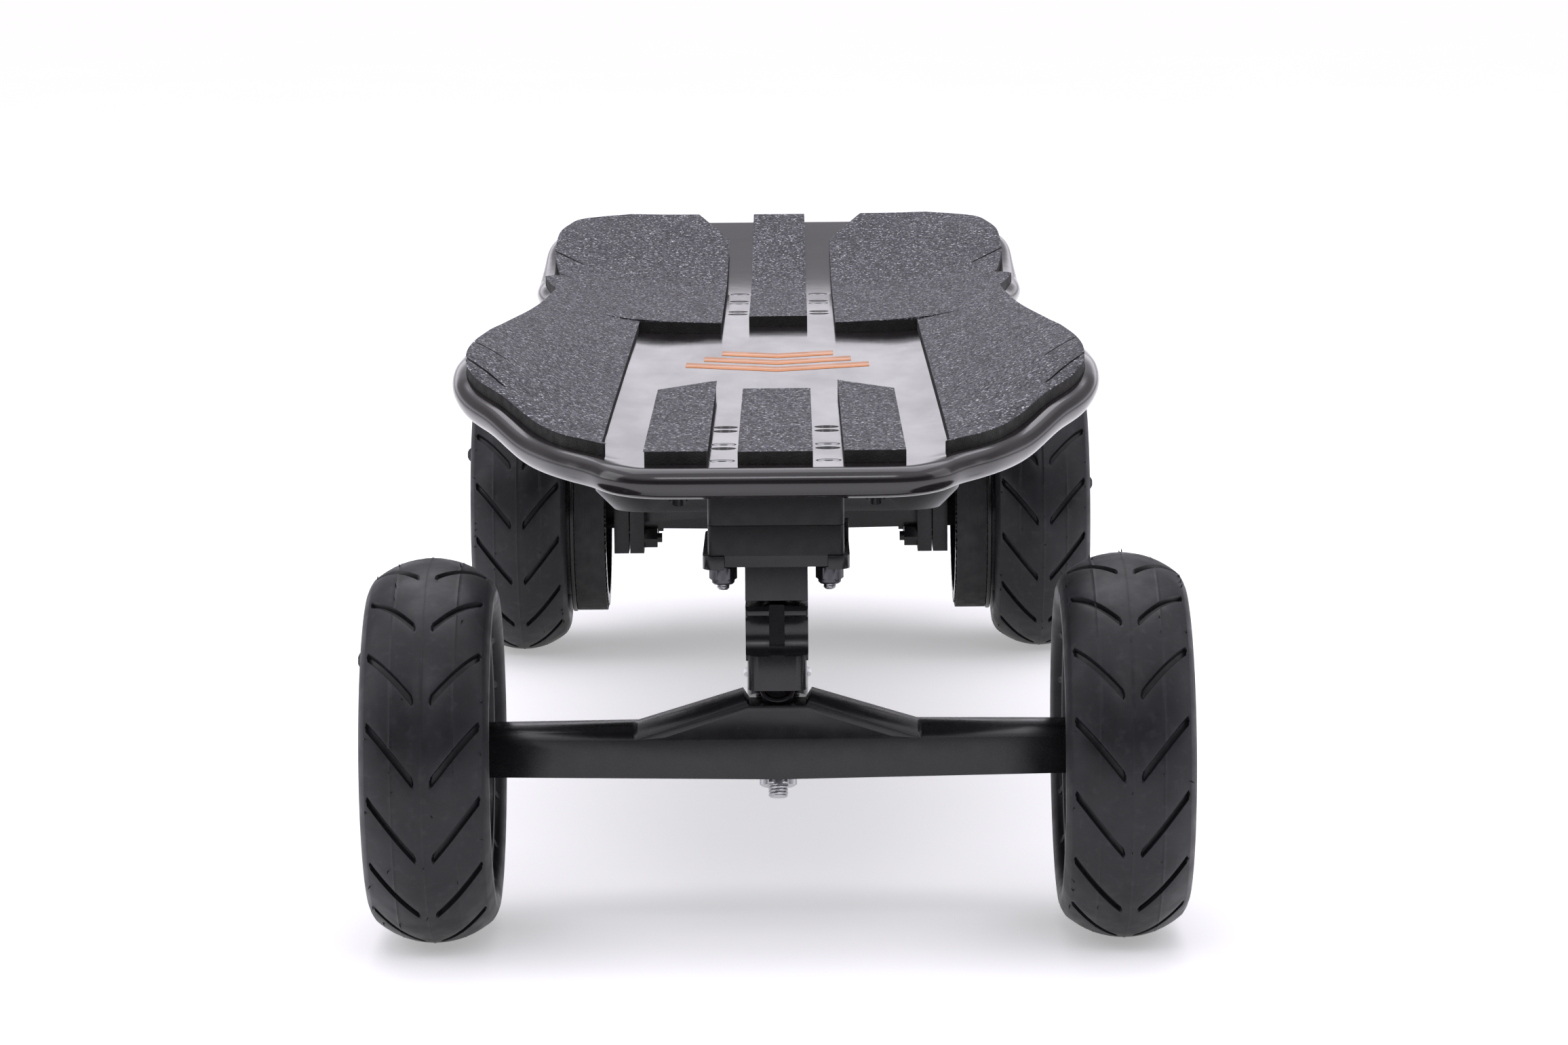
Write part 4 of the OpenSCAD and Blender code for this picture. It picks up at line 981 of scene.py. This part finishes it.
def build_axle(end):
    track = TRACK[end]
    shape, nuts = Shape(), Shape()
    for side in (-1, 1):
        place = TRUCK[end] @ move(0, 0, AXLE_Z) @ turn("Y", 90 * side)
        shape.add(*cylinder(5, 60, track + 18, 48), place)
        shape.add(*thread(5, track + 15, track + 25, 1.25, 32), place)
        shape.add(*lathe(ring_profile(4.9, 7.2, 0, 3.6), 48), place @ move(0, 0, track - 19.95))
        nut = place @ move(0, 0, track + 17.6)
        nuts.add(*hexagon(15.2, 6.8, 4.9), nut)
        nuts.add(*lathe(ring_profile(5.1, 8.6, -1.2, 0, 0.3), 56), nut)
    body = end + "_hanger_arm"
    finish(shape.piece(end + "_stub_axles", [M["zinc"]]), body, "zinc_steel", end + "_axle")
    finish(nuts.piece(end + "_wheel_nuts", [M["blackened"]]), body, "zinc_steel", end + "_axle_nuts")


# ---- belt drives ----
MOTOR = (-86, 88)
WHEEL_TEETH, MOTOR_TEETH = 68, 16
BELT_X = (TRACK["rear"] - 44.5, TRACK["rear"] - 29)
BELT_R, PINION_R, BELT_BACK = 54.5, 13.9, 1.4


def drive(side):
    """Truck frame of one drive: x out from the centre line, y ahead, z up."""
    place = TRUCK["rear"]
    return place @ Matrix.Scale(-1, 4, (1, 0, 0)) if side == "left" else place


def flat_ring(shape, path, inner, x, place):
    """A closed band between two paths of the same length, x[0] to x[1] thick."""
    n = len(path)
    loops = [np.column_stack([np.full(n, at), p]) for p, at in
             ((path, x[0]), (path, x[1]), (inner, x[1]), (inner, x[0]))]
    shape.add(np.vstack(loops), grid_faces(4, n, True, True), place)


def loop_path(r_wheel, r_motor, count):
    """Evenly spaced points round both pulleys, and the outward normals."""
    a, b = np.array([0.0, AXLE_Z]), np.array(MOTOR, float)
    dist = np.linalg.norm(b - a)
    heading = math.atan2(b[1] - a[1], b[0] - a[0])
    lean = math.acos((r_wheel - r_motor) / dist)
    straight = dist * math.sin(lean)
    arc_a, arc_b = (2 * math.pi - 2 * lean) * r_wheel, 2 * lean * r_motor
    total = arc_a + arc_b + 2 * straight

    def between(start, stop, s):
        return start + (stop - start) * s / straight

    out, normals = [], []
    for s in np.linspace(0, total, count, endpoint=False):
        if s < arc_a:
            ang = heading + lean + s / r_wheel
            n = np.array([math.cos(ang), math.sin(ang)])
            p = a + r_wheel * n
        elif s < arc_a + straight:
            n = np.array([math.cos(heading - lean), math.sin(heading - lean)])
            p = between(a + r_wheel * n, b + r_motor * n, s - arc_a)
        elif s < arc_a + straight + arc_b:
            ang = heading - lean + (s - arc_a - straight) / r_motor
            n = np.array([math.cos(ang), math.sin(ang)])
            p = b + r_motor * n
        else:
            n = np.array([math.cos(heading + lean), math.sin(heading + lean)])
            p = between(b + r_motor * n, a + r_wheel * n, s - arc_a - straight - arc_b)
        out.append(p)
        normals.append(n)
    return np.array(out), np.array(normals), total


TOOTH = [(0.0, 0.0), (0.18, 0.0), (0.30, 1.0), (0.50, 1.0), (0.70, 1.0), (0.82, 0.0)]


def build_belt(side):
    """The toothed loop; its path runs along the cords, BELT_BACK below the belt's back."""
    shape = Shape()
    radii = (BELT_R - BELT_BACK, PINION_R - BELT_BACK)
    pitch = 2 * math.pi * radii[0] / WHEEL_TEETH
    _, _, total = loop_path(*radii, 8)
    count = round(total / pitch) * len(TOOTH)
    path, normals, _ = loop_path(*radii, count)
    depth = np.array([TOOTH[k % len(TOOTH)][1] for k in range(count)])
    back = path + normals * BELT_BACK
    inner = path - normals * (0.25 + 1.25 * depth[:, None])
    flat_ring(shape, back, inner, BELT_X, drive(side))
    obj = shape.piece(side + "_toothed_belt", [M["belt"]], angle=30)
    finish(obj, "rear_hanger_arm", "belt_rubber", side + "_belt")


def toothed(radius, depth, teeth, x, bore, place, shape):
    """A toothed drum about the axle or motor shaft, between two x."""
    per = 8
    n = teeth * per
    angles = np.arange(n) / n * 2 * math.pi
    wave = np.array([0, 0, 0, 0.55, 1, 1, 1, 0.55])
    r = radius - depth * np.tile(wave, teeth)
    outer = np.column_stack([r * np.cos(angles), r * np.sin(angles)])
    inner = np.column_stack([bore * np.cos(angles), bore * np.sin(angles)])
    flat_ring(shape, outer, inner, x, place)


def build_pulley(side):
    """Toothed ring, flange and stepped web, with ten small bolts."""
    shape = Shape()
    place = drive(side) @ move(0, 0, AXLE_Z)
    toothed(52.2, 1.9, WHEEL_TEETH, (BELT_X[0] - 0.8, BELT_X[1] + 0.4), 46, place, shape)
    spin = place @ turn("Y", 90)
    x1 = BELT_X[1] + 0.4
    face = TRACK["rear"] - 4.05
    flange = ring_profile(44, 55.2, x1, x1 + 2.3, 0.8, 3)
    shape.add(*lathe(flange, 144), spin)
    step = face - 9.2
    web = rounded_profile([(18.6, x1 - 6.5), (46, x1 - 5.5), (46, step), (37.8, step), (37.8, face),
                           (34, face), (33, x1 - 1), (24, x1 - 1), (22, face), (18.6, face)], 0.8, 3)
    shape.add(*lathe(web, 144), spin)
    for k in range(10):
        bolt = spin @ turn("Z", 36 * k) @ move(33, 0, x1 - 9)
        shape.add(*hexagon(6.5, 3, 1.2, 48, 0.4), bolt)
    obj = shape.piece(side + "_toothed_pulley", [M["alu"]], angle=30)
    finish(obj, f"rear_{side}_wheel", "black_aluminium", side + "_wheel_pulley")


def build_motor(side):
    """Motor shell with its cable gland, and the rotor with the motor pulley."""
    place = drive(side)
    shape = Shape()
    spin = place @ move(0, *MOTOR) @ turn("Y", 90)
    shell = rounded_profile([(5.2, 18), (31.5, 18), (31.5, 80.5), (5.2, 80.5), (5.2, 75), (28.4, 75),
                             (28.4, 24), (5.2, 24)], 1.4, 4)
    shape.add(*lathe(shell, 128), spin)
    for z in (27, 71):
        shape.add(*lathe(ring_profile(31.4, 31.5, z, z + 1.2, 0.3), 128), spin)
    for k in range(12):
        slot = spin @ turn("Z", 30 * k) @ move(21, 0, 17.6)
        shape.add(*lathe([(0, 0), (2.6, 0), (3, 0.4), (0, 0.4)], 32, False), slot, 1)
    gland = place @ move(19, MOTOR[0] + 33.5, MOTOR[1]) @ turn("Y", 90)
    shape.add(*lathe([(0, -1), (3.4, -1), (4, 0), (4, 4), (3.4, 5), (0, 5)], 40, False), gland, 1)
    obj = shape.piece(side + "_motor_shell", [M["motor"], M["seal"]], angle=32)
    finish(obj, "rear_hanger_arm", "motor_case", side + "_motor")
    rotor = Shape()
    rotor.add(*cylinder(26.5, 26, 72.6, 96, 1), spin)
    rotor.add(*cylinder(5, 46, BELT_X[1] + 1, 48), spin)
    toothed(11.6, 1.6, MOTOR_TEETH, (BELT_X[0] - 0.3, BELT_X[1] + 0.3), 4.8, place @ move(0, *MOTOR),
            rotor)
    for z in (BELT_X[0] - 2, BELT_X[1] + 0.6):
        rotor.add(*lathe(ring_profile(4.8, 14.6, z, z + 1.4), 64), spin)
    obj = rotor.piece(side + "_rotor_pinion", [M["bearing"]], angle=32)
    finish(obj, side + "_motor_rotor", "bearing_steel", side + "_rotor")


# ---- studio ----
CAMERA_X, CAMERA_AHEAD, CAMERA_Z = 0.0069, 1.9726, 0.4224
LENS = 117.7
DIP, PAN, ROLL = 7.48, 0.11, -0.5
FLOOR_HALF = 90.0


def area_light(name, at, aim, size, power, colour=(0.97, 0.955, 1)):
    data = bpy.data.lights.new(name, "AREA")
    data.shape = "RECTANGLE"
    data.size, data.size_y = size
    data.energy = power
    data.color = colour
    obj = stand(name, data)
    obj.location = at
    obj.rotation_euler = (Vector(aim) - Vector(at)).to_track_quat("-Z", "Y").to_euler()


def build_camera():
    data = bpy.data.cameras.new("view")
    data.sensor_width = 36
    data.lens = LENS
    data.clip_end = 300
    camera = stand("view", data)
    camera.location = (CAMERA_X, FRONT_Y * MM - CAMERA_AHEAD, CAMERA_Z)
    aim = turn("Z", PAN) @ turn("X", 90 - DIP) @ turn("Z", ROLL)
    camera.rotation_euler = aim.to_euler()
    bpy.context.scene.camera = camera


def studio_sky(tree):
    """White low down ahead and again overhead; dim between them and behind the camera."""
    def ramp(source, low, high, at):
        made = tree.nodes.new("ShaderNodeMapRange")
        made.interpolation_type = "SMOOTHSTEP"
        for key, value in (("From Min", at[0]), ("From Max", at[1]), ("To Min", low), ("To Max", high)):
            made.inputs[key].default_value = value
        tree.links.new(source, made.inputs["Value"])
        return made.outputs["Result"]

    def maths(kind, a, b):
        made = tree.nodes.new("ShaderNodeMath")
        made.operation = kind
        tree.links.new(a, made.inputs[0])
        tree.links.new(b, made.inputs[1])
        return made.outputs["Value"]

    axes = tree.nodes.new("ShaderNodeSeparateXYZ")
    tree.links.new(tree.nodes.new("ShaderNodeTexCoord").outputs["Generated"], axes.inputs[0])
    ahead = ramp(axes.outputs["Y"], 0.10, 1.15, (-0.55, 0.35))
    overhead = ramp(axes.outputs["Z"], 0.0, 1.0, (0.35, 0.75))
    band = ramp(axes.outputs["Z"], 1.0, 0.30, (0.13, 0.27))
    horizon = ramp(axes.outputs["Z"], 0.5, 1.0, (0.066, 0.090))
    return maths("MULTIPLY", maths("MAXIMUM", maths("MULTIPLY", ahead, band), overhead), horizon)


def build_studio():
    scene = bpy.context.scene
    scene.view_settings.view_transform = "Standard"
    world = bpy.data.worlds.new("studio")
    scene.world = world
    world.use_nodes = True
    background = world.node_tree.nodes["Background"]
    background.inputs["Color"].default_value = (0.955, 0.93, 1.0, 1)
    world.node_tree.links.new(studio_sky(world.node_tree), background.inputs["Strength"])
    area_light("overhead", (0, 0.9, 2.8), (0, 0.1, 0), (3.0, 3.0), 34)
    area_light("front_box", (0, -2.9, 2.9), (0, 0, 0.1), (2.0, 0.7), 14)
    area_light("left_box", (-2.4, -0.4, 1.3), (0, 0, 0.1), (1.4, 1.8), 12)
    area_light("right_box", (2.4, -0.4, 1.3), (0, 0, 0.1), (1.4, 1.8), 8)
    mesh = bpy.data.meshes.new("floor")
    half = FLOOR_HALF
    corners = [(-half, -half, 0), (half, -half, 0), (half, half, 0), (-half, half, 0)]
    mesh.from_pydata(corners, [], [(0, 1, 2, 3)])
    paper = Finish("floor_paper", 1.0, Specular_IOR_Level=0.1, Emission_Strength=0.36)
    paper.shader.inputs["Emission Color"].default_value = (1, 1, 1, 1)
    paper.colour(paper.ramp(paper.noise(400, 3), (0.3, (0.90, 0.895, 0.92)), (0.7, (0.92, 0.915, 0.94))))
    mesh.materials.append(paper.mat)
    floor = stand("floor", mesh)


build_camera()
build_studio()
build_deck()
build_side_pad(1, "left_side_grip")
build_side_pad(-1, "right_side_grip")
build_centre_pads()
build_emblem()
for index, (wheel, end, side) in enumerate(WHEELS):
    build_tyre(wheel, end, side, 11 + index)
    build_hub(wheel, end, side)
    build_valve(wheel, end, side)
    build_bearings(wheel, end, side)
for end in ("front", "rear"):
    refined(end + "_risers", "board", "riser_plastic", M["riser"], 0.6)
    refined(end + "_baseplate", "board", "black_aluminium", M["alu"], 0.6)
    refined(end + "_swivel", end + "_swivel_arm", "black_aluminium", M["alu"], 0.5)
    refined(end + "_hanger", end + "_hanger_arm", "black_aluminium", M["alu"], 0.8)
    build_mount_bolts(end)
    build_kingpins(end)
    build_bushings(end)
    build_axle(end)
for side in ("left", "right"):
    refined(side + "_motor_mount", "rear_hanger_arm", "black_aluminium", M["alu"], 0.5)
    build_belt(side)
    build_pulley(side)
    build_motor(side)
refined("enclosure", "board", "moulded_plastic", M["plastic"], 0.5)
refined("enclosure_seal", "board", "seal_rubber", M["seal"], 0.1, 2)
refined("enclosure_screws", "board", "zinc_steel", M["zinc"], 0.25, 2)
refined("battery_pack", "board", "cell_wrap", M["cells"], 0.6)
refined("motor_controller", "board", "controller_case", M["case"], 0.4)
refined("charge_port", "board", "moulded_plastic", M["button"], 0.4)
refined("power_button", "power_button_body", "button_plastic", M["button"], 0.5)
